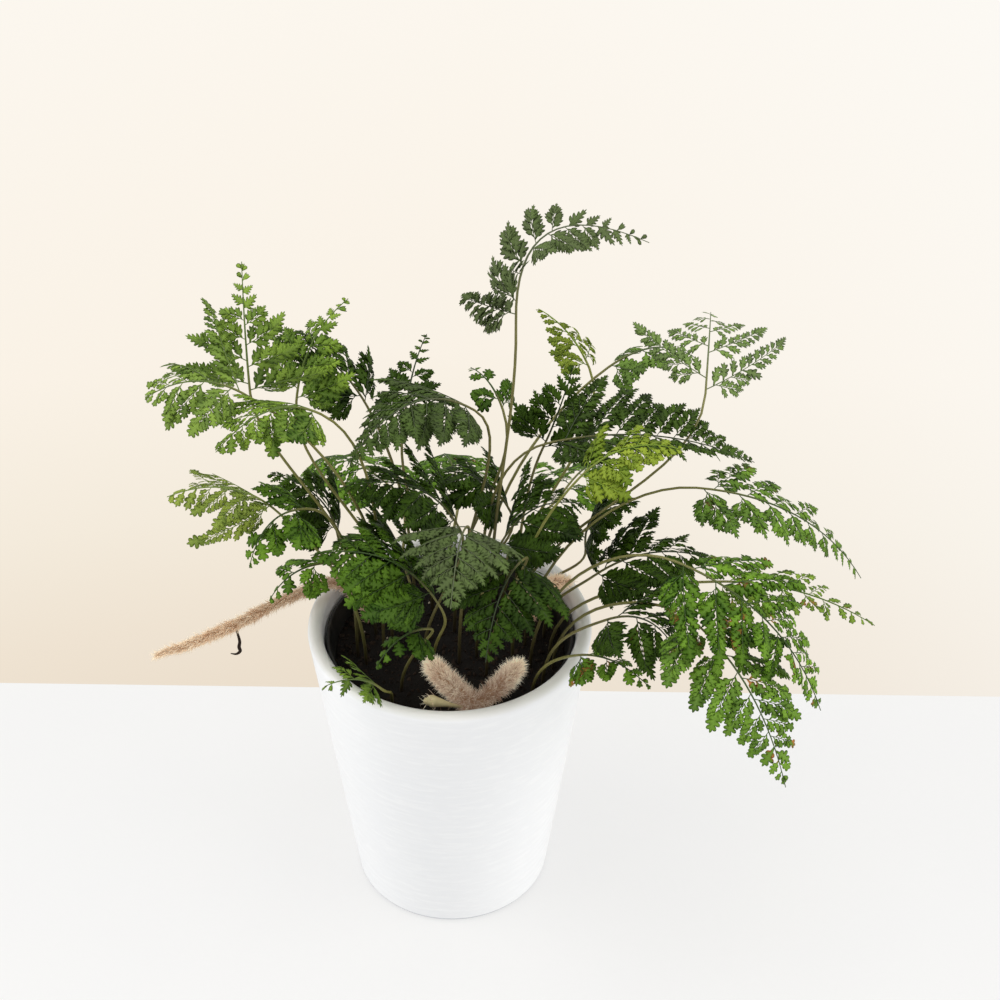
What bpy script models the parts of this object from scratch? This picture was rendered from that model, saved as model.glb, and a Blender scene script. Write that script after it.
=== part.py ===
"""A potted rabbit's foot fern: glazed cover pot, plastic grow pot, soil, furry feet and fronds.

The origin is at the middle of the pot's flat underside. +Z is up and -Y is the side that is looked at.
The fronds are thin sheets with their leaflets cut to the rib. Every leaf branch is placed in turn and
is raised or lowered until it stands clear of everything that is already there.
"""
from math import cos, pi, radians, sin

import bmesh
import bpy
from mathutils import Quaternion, Vector
from mathutils.bvhtree import BVHTree

MM = 0.001
UP = Vector((0.0, 0.0, 1.0))
GAP = 0.3

# Cover pot and grow pot, in millimetres.
POT_HEIGHT = 150.0
POT_RIM_RADIUS = 64.0
POT_BASE_RADIUS = 46.0
POT_WALL = 6.5
POT_FLOOR = 8.0
POT_SIDES = 32
LINER_TOP = 143.0
LINER_TOP_RADIUS = 56.2
LINER_BASE_RADIUS = 37.0
LINER_WALL = 1.3
SOIL_TOP = 132.0

# Stems stand in plain square holes.
HOLE_DEPTH = 8.0
HOLE_RADIUS = 2.3
STEM_FOOT_WIDTH = 1.8
STEM_TOP_WIDTH = 1.3

# Fronds. A stem has a cut in its hole, one at the soil and these along its rise.
STEM_CUTS = (0.2, 0.45, 0.72)
STEM_STATIONS = 2 + len(STEM_CUTS)
MIDRIB_WIDTH = 1.3
MIDRIB_TIP_WIDTH = 0.9
BLADE_THICKNESS = 0.7
BRANCH_WIDTH = 1.1
BRANCH_RIB = 0.5
BRANCH_ANGLE = 60.0
BRANCH_CLEARANCE = 1.1
LIFT_TRIES = (0, 9, -9, 18, -18, 27, -27, 38, -38, 50, -50)
LENGTH_TRIES = (1.0, 0.75, 0.5)

# Leaflet steps on each branch, from the lowest pair to the highest.
STEPS = {4: (2, 1, 1, 1), 5: (2, 2, 1, 1, 1), 6: (3, 2, 1, 1, 1, 1), 7: (3, 3, 2, 1, 1, 1, 1)}

# Colours: linear red, green and blue, roughness.
COLOURS = {
    "glazed_white": ((0.80, 0.80, 0.82), 0.22),
    "black_plastic": ((0.012, 0.013, 0.013), 0.45),
    "potting_soil": ((0.018, 0.011, 0.008), 0.95),
    "tan_fur": ((0.48, 0.31, 0.21), 0.95),
    "leaf_dark": ((0.026, 0.066, 0.022), 0.42),
    "leaf_mid": ((0.075, 0.190, 0.040), 0.45),
    "leaf_light": ((0.125, 0.270, 0.060), 0.48),
    "leaf_lime": ((0.240, 0.430, 0.045), 0.50),
}

# Each frond: where the stem leaves the soil (x, y), the foot of the blade, the tip of the blade,
# length of the lowest branches, turn about the midrib in degrees, rise of the midrib above the
# straight line, lift of the branches in degrees, pairs of branches and colour. The first ones in
# the list are nearest to the eye and keep their natural spread.
FRONDS = {
    "frond_front_right": ((46, -14), (102, -58, 197), (136, -120, 156), 40, 0, 14, 0, 7, "leaf_mid"),
    "frond_front_dark": ((16, -18), (32, -28, 208), (14, -74, 186), 42, 0, 16, -8, 6, "leaf_dark"),
    "frond_front_grey": ((4, -8), (8, -18, 218), (0, -70, 212), 34, 0, 12, -5, 6, "leaf_dark"),
    "frond_right_middle": ((36, -12), (95, -40, 215), (155, -85, 165), 44, 0, 16, 0, 7, "leaf_mid"),
    "frond_front_left": ((-8, -14), (-5, -35, 190), (-62, -30, 212), 46, 0, 14, -8, 6, "leaf_mid"),
    "frond_tall": ((18, 12), (29, 15, 299), (88, 12, 335), 38, 0, 30, 60, 6, "leaf_dark"),
    "frond_left_bright": ((-26, 2), (-84, -2, 277), (-125, -10, 279), 40, 0, 8, 5, 6, "leaf_light"),
    "frond_centre_right": ((14, 18), (45, 25, 230), (140, 25, 215), 44, 0, 10, 22, 7, "leaf_dark"),
    "frond_dome_left": ((2, 14), (12, 26, 247), (-45, -16, 243), 42, 0, 20, -12, 6, "leaf_dark"),
    "frond_lime_right": ((28, -8), (55, -12, 238), (102, -8, 248), 28, 0, 10, 0, 5, "leaf_lime"),
    "frond_right_comb": ((34, 2), (108, 8, 217), (185, -6, 171), 30, 0, 14, 0, 6, "leaf_mid"),
    "frond_right_lacy": ((45, -4), (115, -20, 187), (186, -40, 175), 24, 0, 8, 0, 5, "leaf_light"),
    "frond_left_lacy": ((-38, -8), (-72, -12, 222), (-120, -20, 236), 34, 0, 10, -20, 5, "leaf_lime"),
    "frond_left_tall": ((-34, 12), (-84, 25, 258), (-85, 44, 316), 32, 0, 9, 0, 5, "leaf_light"),
    "frond_left_high": ((-22, 16), (-65, 30, 250), (-40, 60, 285), 28, 0, 10, 0, 5, "leaf_light"),
    "frond_left_low": ((-30, -4), (-52, -5, 268), (-95, -38, 270), 36, 0, 12, -8, 5, "leaf_light"),
    "frond_left_back": ((-16, 24), (-35, 40, 240), (-85, 60, 270), 26, 0, 10, 0, 5, "leaf_dark"),
    "frond_back_spire": ((-8, 28), (-20, 50, 220), (-8, 95, 243), 22, 0, 8, 5, 5, "leaf_dark"),
    "frond_right_top": ((27, 10), (114, 42, 243), (121, 92, 254), 44, 0, 9, -4, 6, "leaf_mid"),
    "frond_back_right": ((14, 34), (75, 90, 225), (120, 100, 220), 26, 0, 10, 0, 5, "leaf_mid"),
    "frond_lime_back": ((24, 24), (65, 75, 235), (40, 80, 265), 20, 60, 4, 0, 5, "leaf_lime"),
    "frond_small_back": ((2, 34), (25, 50, 230), (10, 70, 240), 18, 0, 5, 0, 4, "leaf_mid"),
    "frond_right_dark": ((43, 8), (64, -4, 178), (120, -4, 184), 40, 0, 10, 0, 5, "leaf_dark"),
    "frond_right_low": ((41, -25), (66, -42, 185), (97, -60, 177), 40, 0, 12, -8, 5, "leaf_dark"),
    "frond_centre_left": ((-12, -4), (5, 5, 198), (-50, -2, 226), 44, 0, 14, -8, 6, "leaf_dark"),
    "frond_left_dark": ((-18, 4), (-18, -12, 186), (-52, -16, 208), 30, 0, 10, -5, 5, "leaf_dark"),
    "frond_centre_back": ((6, 24), (28, 30, 188), (-12, 40, 200), 36, 0, 12, -8, 5, "leaf_dark"),
    "frond_centre": ((12, -4), (22, 2, 190), (62, 14, 203), 42, 0, 12, -8, 5, "leaf_dark"),
    "frond_left_droop": ((-42, -2), (-60, -12, 224), (-84, -38, 210), 26, 0, 12, -15, 5, "leaf_mid"),
    "frond_rim_left": ((-42, 8), (-55, 5, 180), (-80, -10, 170), 16, 0, 6, -10, 4, "leaf_mid"),
    "frond_rim_right": ((36, -32), (55, -45, 168), (85, -68, 168), 18, 0, 6, -10, 4, "leaf_mid"),
    "frond_rim_front": ((-26, -36), (-30, -50, 155), (-55, -60, 165), 18, 0, 5, -5, 4, "leaf_light"),
    "frond_inner_left": ((-22, -26), (-10, -40, 180), (-32, -60, 175), 26, 0, 6, -10, 4, "leaf_mid"),
    "frond_back_left": ((-24, 34), (-25, 70, 170), (-75, 130, 130), 32, 0, 16, -10, 4, "leaf_mid"),
    "frond_back_middle": ((-2, 44), (5, 85, 162), (-5, 145, 114), 32, 0, 16, -8, 4, "leaf_mid"),
    "frond_back_low_right": ((22, 38), (55, 80, 160), (85, 140, 110), 32, 0, 16, -10, 4, "leaf_mid"),
    "frond_left_inner": ((-26, 24), (-50, 26, 178), (-82, 35, 208), 28, 0, 10, -5, 4, "leaf_dark"),
    "frond_right_inner": ((38, 29), (62, 22, 172), (86, 16, 203), 28, 0, 10, -5, 4, "leaf_dark"),
    "frond_centre_top": ((31, 32), (43, 50, 208), (57, 58, 250), 28, 60, 4, 0, 5, "leaf_dark"),
}


def make_material(name):
    """Return a Principled material with the named colour and roughness."""
    (red, green, blue), roughness = COLOURS[name]
    material = bpy.data.materials.new(name)
    material.use_nodes = True
    shader = material.node_tree.nodes["Principled BSDF"]
    shader.inputs["Base Color"].default_value = (red, green, blue, 1.0)
    shader.inputs["Roughness"].default_value = roughness
    shader.inputs["Metallic"].default_value = 0.0
    material.diffuse_color = (red, green, blue, 1.0)
    return material


def add_object(name, mesh, material, parent, smooth=False):
    """Put a mesh in the scene as a named object with one material."""
    thing = bpy.data.objects.new(name, mesh)
    thing.data.materials.append(material)
    bpy.context.collection.objects.link(thing)
    thing.parent = parent
    if smooth:
        mesh.shade_smooth()
    return thing


def revolved_mesh(name, profile, sides):
    """Spin a profile of (radius, height) pairs in millimetres about the upright axis."""
    shape = bmesh.new()
    points = [shape.verts.new((radius * MM, 0.0, height * MM)) for radius, height in profile]
    edges = [shape.edges.new(pair) for pair in zip(points, points[1:])]
    bmesh.ops.spin(shape, geom=points + edges, cent=(0, 0, 0), axis=(0, 0, 1),
                   angle=2 * pi, steps=sides, use_merge=False, use_duplicate=False)
    bmesh.ops.remove_doubles(shape, verts=shape.verts, dist=1e-6)
    bmesh.ops.recalc_face_normals(shape, faces=shape.faces)
    mesh = bpy.data.meshes.new(name)
    shape.to_mesh(mesh)
    shape.free()
    return mesh


def wall_radius(height, top_radius, base_radius, top, bottom=0.0):
    """Radius of a straight taper at the given height."""
    return base_radius + (top_radius - base_radius) * (height - bottom) / (top - bottom)


def add_outer_pot(material, parent):
    """Glazed pot: straight taper, rounded lip, solid flat floor."""
    lip = POT_WALL / 2
    lip_centre = POT_RIM_RADIUS - lip
    lip_height = POT_HEIGHT - lip
    inside_top = POT_RIM_RADIUS - POT_WALL
    inside_base = wall_radius(POT_FLOOR, inside_top, POT_BASE_RADIUS - POT_WALL, POT_HEIGHT)
    profile = [(0.0, 0.0), (POT_BASE_RADIUS - 1.5, 0.0), (POT_BASE_RADIUS, 1.5)]
    profile += [(lip_centre + lip * cos(radians(a)), lip_height + lip * sin(radians(a)))
                for a in (0, 45, 90, 135, 180)]
    profile += [(inside_base, POT_FLOOR), (0.0, POT_FLOOR)]
    return add_object("outer_pot", revolved_mesh("outer_pot", profile, POT_SIDES), material, parent, True)


def add_nursery_pot(material, parent):
    """Thin plastic pot that stands on the floor of the glazed pot."""
    bottom = POT_FLOOR + GAP
    profile = [
        (0.0, bottom), (LINER_BASE_RADIUS, bottom), (LINER_TOP_RADIUS, LINER_TOP),
        (LINER_TOP_RADIUS - LINER_WALL, LINER_TOP),
        (LINER_BASE_RADIUS - LINER_WALL, bottom + LINER_WALL), (0.0, bottom + LINER_WALL),
    ]
    return add_object("nursery_pot", revolved_mesh("nursery_pot", profile, POT_SIDES), material, parent, True)


def prism(shape, centre, radius, bottom, top, sides):
    """Add a closed upright prism to a bmesh, all in millimetres."""
    rings = []
    for height in (bottom, top):
        rings.append([shape.verts.new((
            (centre[0] + radius * cos(2 * pi * i / sides)) * MM,
            (centre[1] + radius * sin(2 * pi * i / sides)) * MM, height * MM)) for i in range(sides)])
    shape.faces.new(reversed(rings[0]))
    shape.faces.new(rings[1])
    for i in range(sides):
        j = (i + 1) % sides
        shape.faces.new((rings[0][i], rings[0][j], rings[1][j], rings[1][i]))


def add_soil(material, parent, holes):
    """Soil plug that fills the grow pot, with a plain hole for every stem and foot."""
    bottom = POT_FLOOR + LINER_WALL + 2 * GAP
    inner_base = LINER_BASE_RADIUS - LINER_WALL - GAP
    inner_top = wall_radius(SOIL_TOP, LINER_TOP_RADIUS, LINER_BASE_RADIUS, LINER_TOP, POT_FLOOR)
    profile = [(0.0, bottom), (inner_base, bottom), (inner_top - LINER_WALL - 2 * GAP, SOIL_TOP),
               (0.0, SOIL_TOP)]
    soil = add_object("soil", revolved_mesh("soil", profile, POT_SIDES), material, parent)
    shape = bmesh.new()
    for centre, radius, depth, sides in holes:
        prism(shape, centre, radius, SOIL_TOP - depth, SOIL_TOP + 5.0, sides)
    mesh = bpy.data.meshes.new("stem_holes")
    shape.to_mesh(mesh)
    shape.free()
    cutter = bpy.data.objects.new("stem_holes", mesh)
    bpy.context.collection.objects.link(cutter)
    cutter.parent = parent
    cutter.hide_render = True
    cutter.display_type = "WIRE"
    cut = soil.modifiers.new("holes", "BOOLEAN")
    cut.operation = "DIFFERENCE"
    cut.solver = "EXACT"
    cut.object = cutter
    return soil


def tube_into(shape, path, radii, sides):
    """Add a closed round tube along a path to a bmesh, in millimetres, capped at both ends."""
    points = [Vector(p) for p in path]
    rings = []
    across = None
    for i, point in enumerate(points):
        ahead = points[min(i + 1, len(points) - 1)] - points[max(i - 1, 0)]
        ahead.normalize()
        if across is None:
            across = ahead.cross(Vector((0.0, 1.0, 0.0)))
            if across.length < 0.1:
                across = ahead.cross(Vector((1.0, 0.0, 0.0)))
        across = (across - ahead * across.dot(ahead)).normalized()
        other = ahead.cross(across)
        rings.append([shape.verts.new((point + (across * cos(2 * pi * k / sides)
                      + other * sin(2 * pi * k / sides)) * radii[i]) * MM) for k in range(sides)])
    faces = [shape.faces.new(rings[0]), shape.faces.new(reversed(rings[-1]))]
    for low, high in zip(rings, rings[1:]):
        for k in range(sides):
            j = (k + 1) % sides
            faces.append(shape.faces.new((low[k], low[j], high[j], high[k])))
    bmesh.ops.recalc_face_normals(shape, faces=faces)


def tube_mesh(name, path, radii, sides):
    """Make the mesh of one tube."""
    shape = bmesh.new()
    tube_into(shape, path, radii, sides)
    mesh = bpy.data.meshes.new(name)
    shape.to_mesh(mesh)
    shape.free()
    return mesh


def add_foot(name, tubes, sides, material, parent):
    """Furry foot: the first tube, with the others joined to it by one union."""
    first, *others = [tube_mesh(name, path, radii, sides) for path, radii in tubes]
    foot = add_object(name, first, material, parent, True)
    if not others:
        return foot
    group = bpy.data.collections.new(name + "_branches")
    bpy.context.scene.collection.children.link(group)
    for mesh in others:
        group.objects.link(bpy.data.objects.new(mesh.name, mesh))
    join = foot.modifiers.new("join", "BOOLEAN")
    join.operation = "UNION"
    join.solver = "EXACT"
    join.operand_type = "COLLECTION"
    join.collection = group
    bpy.context.view_layer.update()
    joined = bpy.data.meshes.new_from_object(foot.evaluated_get(bpy.context.evaluated_depsgraph_get()))
    foot.modifiers.clear()
    foot.data = joined
    for member in list(group.objects):
        bpy.data.objects.remove(member)
    bpy.data.collections.remove(group)
    return foot


# The feet stand in round holes: middle and radius of each.
FOOT_HOLE_DEPTH = 8.0 + GAP
FOOT_HOLES = (((-38, 22), 5.6), ((10, -40), 8.6), ((34, 18), 7.2))

# The feet: points along each tube and the radius at each point.
LEFT_FOOT = [
    ([(-38, 22, 124), (-38, 22, 138), (-44, 21, 151), (-55, 18, 157.5), (-76, 8, 155.5), (-96, -4, 152.5),
      (-115, -14, 150.5), (-128, -20, 150), (-133, -23, 149.5)],
     [4.0, 4.2, 4.4, 4.0, 3.8, 4.0, 3.7, 3.0, 1.4]),
    ([(-94, -3, 151), (-94.5, -6, 147), (-95, -9, 143.5), (-96, -10, 141), (-98.5, -10, 140)],
     [0.8, 0.7, 0.6, 0.6, 0.6]),
]
FRONT_FOOT = [
    ([(10, -40, 124), (10, -40, 133), (4, -38, 140), (-3, -34, 145.5), (-8, -29, 149), (-10, -27, 150)],
     [5.8, 6.2, 6.4, 6.2, 5.4, 2.4]),
    ([(12, -40, 137), (18, -38, 140.5), (24, -34, 144), (29, -30, 147.5), (31.5, -28, 148.5)],
     [4.8, 5.6, 6.0, 5.4, 2.4]),
    ([(5, -42, 136), (-1, -45, 138), (-6, -46, 139.5), (-9, -46, 140.5)], [2.8, 3.4, 3.4, 1.8]),
]
RIGHT_FOOT = [
    ([(34, 18, 124), (34, 18, 134), (39, 17, 146), (47, 15, 157), (55, 12, 162)],
     [4.5, 5.2, 5.6, 5.2, 2.6]),
]


class Obstacles:
    """Everything that is already in place, as one search tree for each piece."""

    def __init__(self):
        self.items = []

    def add(self, owner, points, faces):
        """Keep a piece: its owner's name, its search tree and its bounds."""
        tree = BVHTree.FromPolygons(points, faces)
        low = Vector([min(p[i] for p in points) for i in range(3)])
        high = Vector([max(p[i] for p in points) for i in range(3)])
        self.items.append((owner, tree, low, high))

    def hit(self, owner, points, faces):
        """True where the given surface meets a piece of anything but its own frond."""
        tree = BVHTree.FromPolygons(points, faces)
        low = [min(p[i] for p in points) for i in range(3)]
        high = [max(p[i] for p in points) for i in range(3)]
        for other, other_tree, other_low, other_high in self.items:
            if other == owner:
                continue
            if any(low[i] > other_high[i] or high[i] < other_low[i] for i in range(3)):
                continue
            if tree.overlap(other_tree):
                return True
        return False


# A frond that turns as it grows: how many degrees the branches of its first side sink toward the
# tip, and how long those of its second side are against them.
TWISTED = {"frond_tall": (80, 0.62)}


class Frond:
    """The lines of one frond: a stem from the soil, then a bowed midrib."""

    def __init__(self, name, values):
        self.name = name
        self.sink, self.far_share = TWISTED.get(name, (0, 1.0))
        (root_x, root_y), base, tip, self.spread, turn, bow, self.lift, self.pairs, self.colour = values
        self.root = Vector((root_x, root_y, SOIL_TOP))
        self.base = Vector(base)
        self.chord = Vector(tip) - self.base
        along = self.chord.normalized()
        self.side = along.cross(UP).normalized()
        self.side.rotate(Quaternion(along, radians(turn)))
        self.rise = self.side.cross(along) * 4 * bow
        self.step = self.chord.length / self.pairs

    def midrib(self, t):
        """Point on the midrib, from 0 at the foot of the blade to 1 at its tip."""
        return self.base + self.chord * t + self.rise * t * (1 - t)

    def heading(self, t):
        """Direction of the midrib."""
        return (self.chord + self.rise * (1 - 2 * t)).normalized()

    def stem(self, u):
        """Point on the stem, which leaves the soil upright and runs smoothly into the midrib."""
        reach = (self.base - self.root).length
        a, b = self.root, self.root + UP * 0.45 * reach
        c, d = self.base - self.heading(0) * 0.3 * reach, self.base
        v = 1 - u
        return a * v ** 3 + b * 3 * u * v * v + c * 3 * u * u * v + d * u ** 3

    def stations(self):
        """Centre, half width vector and thickness share at each cut across the whole frond."""
        below = self.root - UP * (HOLE_DEPTH - GAP)
        centres = [below, self.root] + [self.stem(u) for u in STEM_CUTS]
        widths = [STEM_FOOT_WIDTH] * 2 + [STEM_TOP_WIDTH + 0.3, STEM_TOP_WIDTH + 0.2, STEM_TOP_WIDTH]
        thickness = list(widths)
        half = BRANCH_WIDTH / 2 / self.chord.length
        for i in range(self.pairs):
            share = i / self.pairs
            for t in (self.place(i) - half, self.place(i) + half):
                centres.append(self.midrib(t))
                widths.append(MIDRIB_WIDTH + (MIDRIB_TIP_WIDTH - MIDRIB_WIDTH) * share)
                thickness.append(BLADE_THICKNESS if i else STEM_TOP_WIDTH)
        sides = [self.side] * len(centres)
        across = self.side
        for i in reversed(range(STEM_STATIONS)):
            ahead = (centres[i + 1] - centres[i]).normalized()
            across = (across - ahead * across.dot(ahead)).normalized()
            sides[i] = across
        return centres, [s * w / 2 for s, w in zip(sides, widths)], thickness

    def place(self, i):
        """Where on the midrib a pair of branches sits."""
        return 0.03 + 0.9 * i / self.pairs

    def branch_length(self, i, hand):
        """Branches shorten evenly toward the tip."""
        return self.spread * (1 - i / (self.pairs + 0.4)) * (self.far_share if hand < 0 else 1.0)

    def branch_lift(self, i, hand):
        """Lift of a branch; on a twisted frond the first side sinks toward the tip."""
        return self.lift - (self.sink * min(2 * self.place(i), 1.0) if hand > 0 else 0.0)


def branch_outline(length, half_width, steps):
    """Where one branch is cut to its rib, and its leaflet tips, in its own plane."""
    cuts = [length * 0.82 * j / steps for j in range(steps + 1)]
    tips = []
    for j in range(steps):
        reach = half_width * (1 - 0.55 * j / steps)
        tips.append((cuts[j] + 0.85 * (cuts[j + 1] - cuts[j]), reach))
    return cuts, tips


def branch_surface(roots, axes, length, half_width, steps):
    """Points and triangles of one branch; the first two points are its roots on the midrib."""
    cuts, tips = branch_outline(length, half_width, steps)
    origin = (roots[0] + roots[1]) / 2
    out, forward, upward = axes

    def place(x, y):
        droop = -0.14 * x * x / length - 0.10 * abs(y)
        return origin + out * x + forward * (y + 0.10 * x * x / length) + upward * droop

    points = list(roots)
    faces = []
    for x in cuts[1:]:
        points += [place(x, -BRANCH_RIB), place(x, BRANCH_RIB)]
    for j in range(steps):
        lower, upper = 2 * j, 2 * j + 1
        faces += [(lower, lower + 2, upper + 2), (lower, upper + 2, upper)]
        tip = len(cuts) * 2 + 2 * j
        faces += [(lower, tip, lower + 2), (upper, upper + 2, tip + 1)]
    for x, y in tips:
        points += [place(x, -y), place(x, y)]
    last = 2 * len(cuts) - 2
    points.append(place(length, 0.0))
    faces.append((last, len(points) - 1, last + 1))
    return points, faces


def inflated(points, faces, origin, normal):
    """Three copies of a surface, spread along its normal and slightly enlarged."""
    copies = []
    all_faces = []
    for offset in (-BRANCH_CLEARANCE, 0.0, BRANCH_CLEARANCE):
        shift = len(copies)
        copies += [origin + (p - origin) * 1.05 + normal * offset for p in points]
        all_faces += [tuple(i + shift for i in face) for face in faces]
    return copies, all_faces


def branch_frame(frond, t, hand, lift):
    """Directions of one branch: outward, forward and its normal."""
    ahead = frond.heading(t)
    upward = frond.side.cross(ahead).normalized()
    sideways = frond.side * hand
    tilted = sideways * cos(radians(lift)) + upward * sin(radians(lift))
    normal = upward * cos(radians(lift)) - sideways * sin(radians(lift))
    angle = radians(BRANCH_ANGLE)
    out = ahead * cos(angle) + tilted * sin(angle)
    forward = ahead * sin(angle) - tilted * cos(angle)
    return out, forward, normal


def clear_branch(frond, i, hand, roots, obstacles):
    """The first lift and length at which a branch is clear of everything, or None."""
    t = frond.place(i)
    steps = STEPS[frond.pairs][i]
    for share in LENGTH_TRIES:
        length = frond.branch_length(i, hand) * share
        half_width = min(0.34 * length, 0.42 * frond.step)
        for change in LIFT_TRIES:
            axes = branch_frame(frond, t, hand, frond.branch_lift(i, hand) + change)
            points, faces = branch_surface(roots, axes, length, half_width, steps)
            if not obstacles.hit(frond.name, *inflated(points, faces, roots[0], axes[2])):
                return points, faces
    return None


def stem_surface(centres, halves):
    """Strip of triangles from the soil to the tip of the midrib."""
    points = []
    for centre, half in zip(centres, halves):
        points += [centre + half, centre - half]
    faces = []
    for i in range(len(centres) - 1):
        a, b = 2 * i, 2 * i + 1
        faces += [(a, a + 2, b + 2), (a, b + 2, b)]
    return points, faces


def frond_sheet(frond, obstacles):
    """The whole frond as one sheet: strip, branches and tail."""
    centres, halves, thickness = frond.stations()
    points, faces = stem_surface(centres, halves)
    weights = [w for w in thickness for _ in range(2)]
    for i in range(frond.pairs):
        for hand in (1, -1):
            column = 0 if hand > 0 else 1
            low = 2 * (STEM_STATIONS + 2 * i) + column
            high = low + 2
            found = clear_branch(frond, i, hand, (points[low], points[high]), obstacles)
            if found is None:
                continue
            join_branch(points, faces, weights, found, (low, high), hand)
            obstacles.add(frond.name, *found)
    add_tail(frond, points, faces, weights)
    return points, faces, weights


def join_branch(points, faces, weights, found, root_pair, hand):
    """Sew a branch to two points of the midrib."""
    new_points, new_faces = found
    shift = len(points) - 2
    joined = [tuple(root_pair[k] if k < 2 else k + shift for k in face) for face in new_faces]
    if hand < 0:
        joined = [tuple(reversed(face)) for face in joined]
    points += new_points[2:]
    weights += [BLADE_THICKNESS] * (len(new_points) - 2)
    faces += joined


def add_tail(frond, points, faces, weights):
    """Toothed tail that ends the midrib."""
    last = 2 * (STEM_STATIONS + 2 * frond.pairs) - 2
    roots = (points[last], points[last + 1])
    way = frond.midrib(1.0) - (roots[0] + roots[1]) / 2
    out = way.normalized()
    axes = (out, -frond.side, frond.side.cross(out).normalized())
    tail = branch_surface(roots, axes, way.length * 1.15, 0.20 * frond.step, 1)
    join_branch(points, faces, weights, tail, (last, last + 1), 1)


def add_frond(frond, sheet, material, parent):
    """Turn the sheet into a thin solid that is thickest at the stem's foot."""
    points, faces, weights = sheet
    mesh = bpy.data.meshes.new(frond.name)
    mesh.from_pydata([p * MM for p in points], [], faces)
    thing = add_object(frond.name, mesh, material, parent)
    group = thing.vertex_groups.new(name="thickness")
    for index, weight in enumerate(weights):
        group.add([index], weight / STEM_FOOT_WIDTH, "REPLACE")
    solid = thing.modifiers.new("thickness", "SOLIDIFY")
    solid.thickness = STEM_FOOT_WIDTH * MM
    solid.offset = 0.0
    solid.vertex_group = group.name
    solid.thickness_vertex_group = 0.0
    return thing


def object_surface(thing):
    """Points in millimetres and faces of an object as it will be built."""
    bpy.context.view_layer.update()
    mesh = thing.evaluated_get(bpy.context.evaluated_depsgraph_get()).to_mesh()
    return [v.co / MM for v in mesh.vertices], [tuple(p.vertices) for p in mesh.polygons]


def main():
    """Build every piece of the plant."""
    for thing in list(bpy.data.objects):
        bpy.data.objects.remove(thing, do_unlink=True)
    materials = {name: make_material(name) for name in COLOURS}
    root = bpy.data.objects.new("fern", None)
    bpy.context.collection.objects.link(root)

    fronds = [Frond(name, values) for name, values in FRONDS.items()]
    holes = [((f.root.x, f.root.y), HOLE_RADIUS, HOLE_DEPTH, 4) for f in fronds]
    holes += [(centre, radius, FOOT_HOLE_DEPTH, 8) for centre, radius in FOOT_HOLES]
    solids = [
        add_outer_pot(materials["glazed_white"], root),
        add_nursery_pot(materials["black_plastic"], root),
        add_soil(materials["potting_soil"], root, holes),
        add_foot("rhizome_left", LEFT_FOOT, 8, materials["tan_fur"], root),
        add_foot("rhizome_front", FRONT_FOOT, 8, materials["tan_fur"], root),
        add_foot("rhizome_right", RIGHT_FOOT, 8, materials["tan_fur"], root),
    ]

    obstacles = Obstacles()
    for solid in solids:
        obstacles.add(solid.name, *object_surface(solid))
    for frond in fronds:
        centres, halves, _ = frond.stations()
        obstacles.add(frond.name, *stem_surface(centres, halves))
        obstacles.add(frond.name, *stem_surface(centres, [h.cross(UP) for h in halves]))
    for frond in fronds:
        add_frond(frond, frond_sheet(frond, obstacles), materials[frond.colour], root)


main()
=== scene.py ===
# %% [markdown]
# # A rabbit's foot fern in a white glazed pot
#
# The object is a house plant: a tapered white cover pot, a thin black grow pot inside it, dark
# potting mix, three furry rhizomes (the "rabbit's feet") and 39 lacy fronds.
# A imported CAD model gives every main form and its place. Each piece below keeps the form that the
# CAD solid has and adds what the eye expects close up: lobed leaflets, veins, fur, crumbs of bark
# and the soft rings in the glaze.
#
# We start by loading that frame. It gives the nodes (one object for each CAD piece).

# %% Load the frame
from math import cos, pi, radians, sin
from random import Random

import bmesh
import bpy
import numpy as np
from mathutils import Matrix, Quaternion, Vector
from mathutils.kdtree import KDTree


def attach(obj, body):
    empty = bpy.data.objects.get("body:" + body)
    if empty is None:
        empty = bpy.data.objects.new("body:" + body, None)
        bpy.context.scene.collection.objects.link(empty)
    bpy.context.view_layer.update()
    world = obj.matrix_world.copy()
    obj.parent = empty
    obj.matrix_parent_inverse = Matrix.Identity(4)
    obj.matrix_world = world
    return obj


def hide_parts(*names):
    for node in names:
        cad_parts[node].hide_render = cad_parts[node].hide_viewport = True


MM = 0.001
UP = Vector((0.0, 0.0, 1.0))
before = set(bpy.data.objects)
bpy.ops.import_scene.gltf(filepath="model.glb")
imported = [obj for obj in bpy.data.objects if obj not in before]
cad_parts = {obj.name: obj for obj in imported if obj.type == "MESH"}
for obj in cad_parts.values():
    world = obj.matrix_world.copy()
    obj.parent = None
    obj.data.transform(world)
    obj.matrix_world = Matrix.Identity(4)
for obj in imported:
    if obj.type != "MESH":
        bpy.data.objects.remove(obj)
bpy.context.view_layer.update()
print("CAD nodes:", len(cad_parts))

# %% [markdown]
# ## The camera
#
# A product photographer stood a little above the plant and looked down at it. We could turn the
# camera by hand until the picture looks right. It is more reliable to work out its place and its
# angles from points that we know in the picture, here the ellipses of the pot's rim and base.
# The result is three angles: a small yaw, a pitch of about 38 degrees down and a tiny roll.

# %% Place the camera
CAMERA_PLACE = Vector((0.0, -0.71325, 0.77154))
CAMERA_YAW = 0.0313
CAMERA_PITCH = 0.6598
CAMERA_ROLL = 0.0054
LENS = 75.41
SENSOR_WIDTH = 36.0

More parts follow.
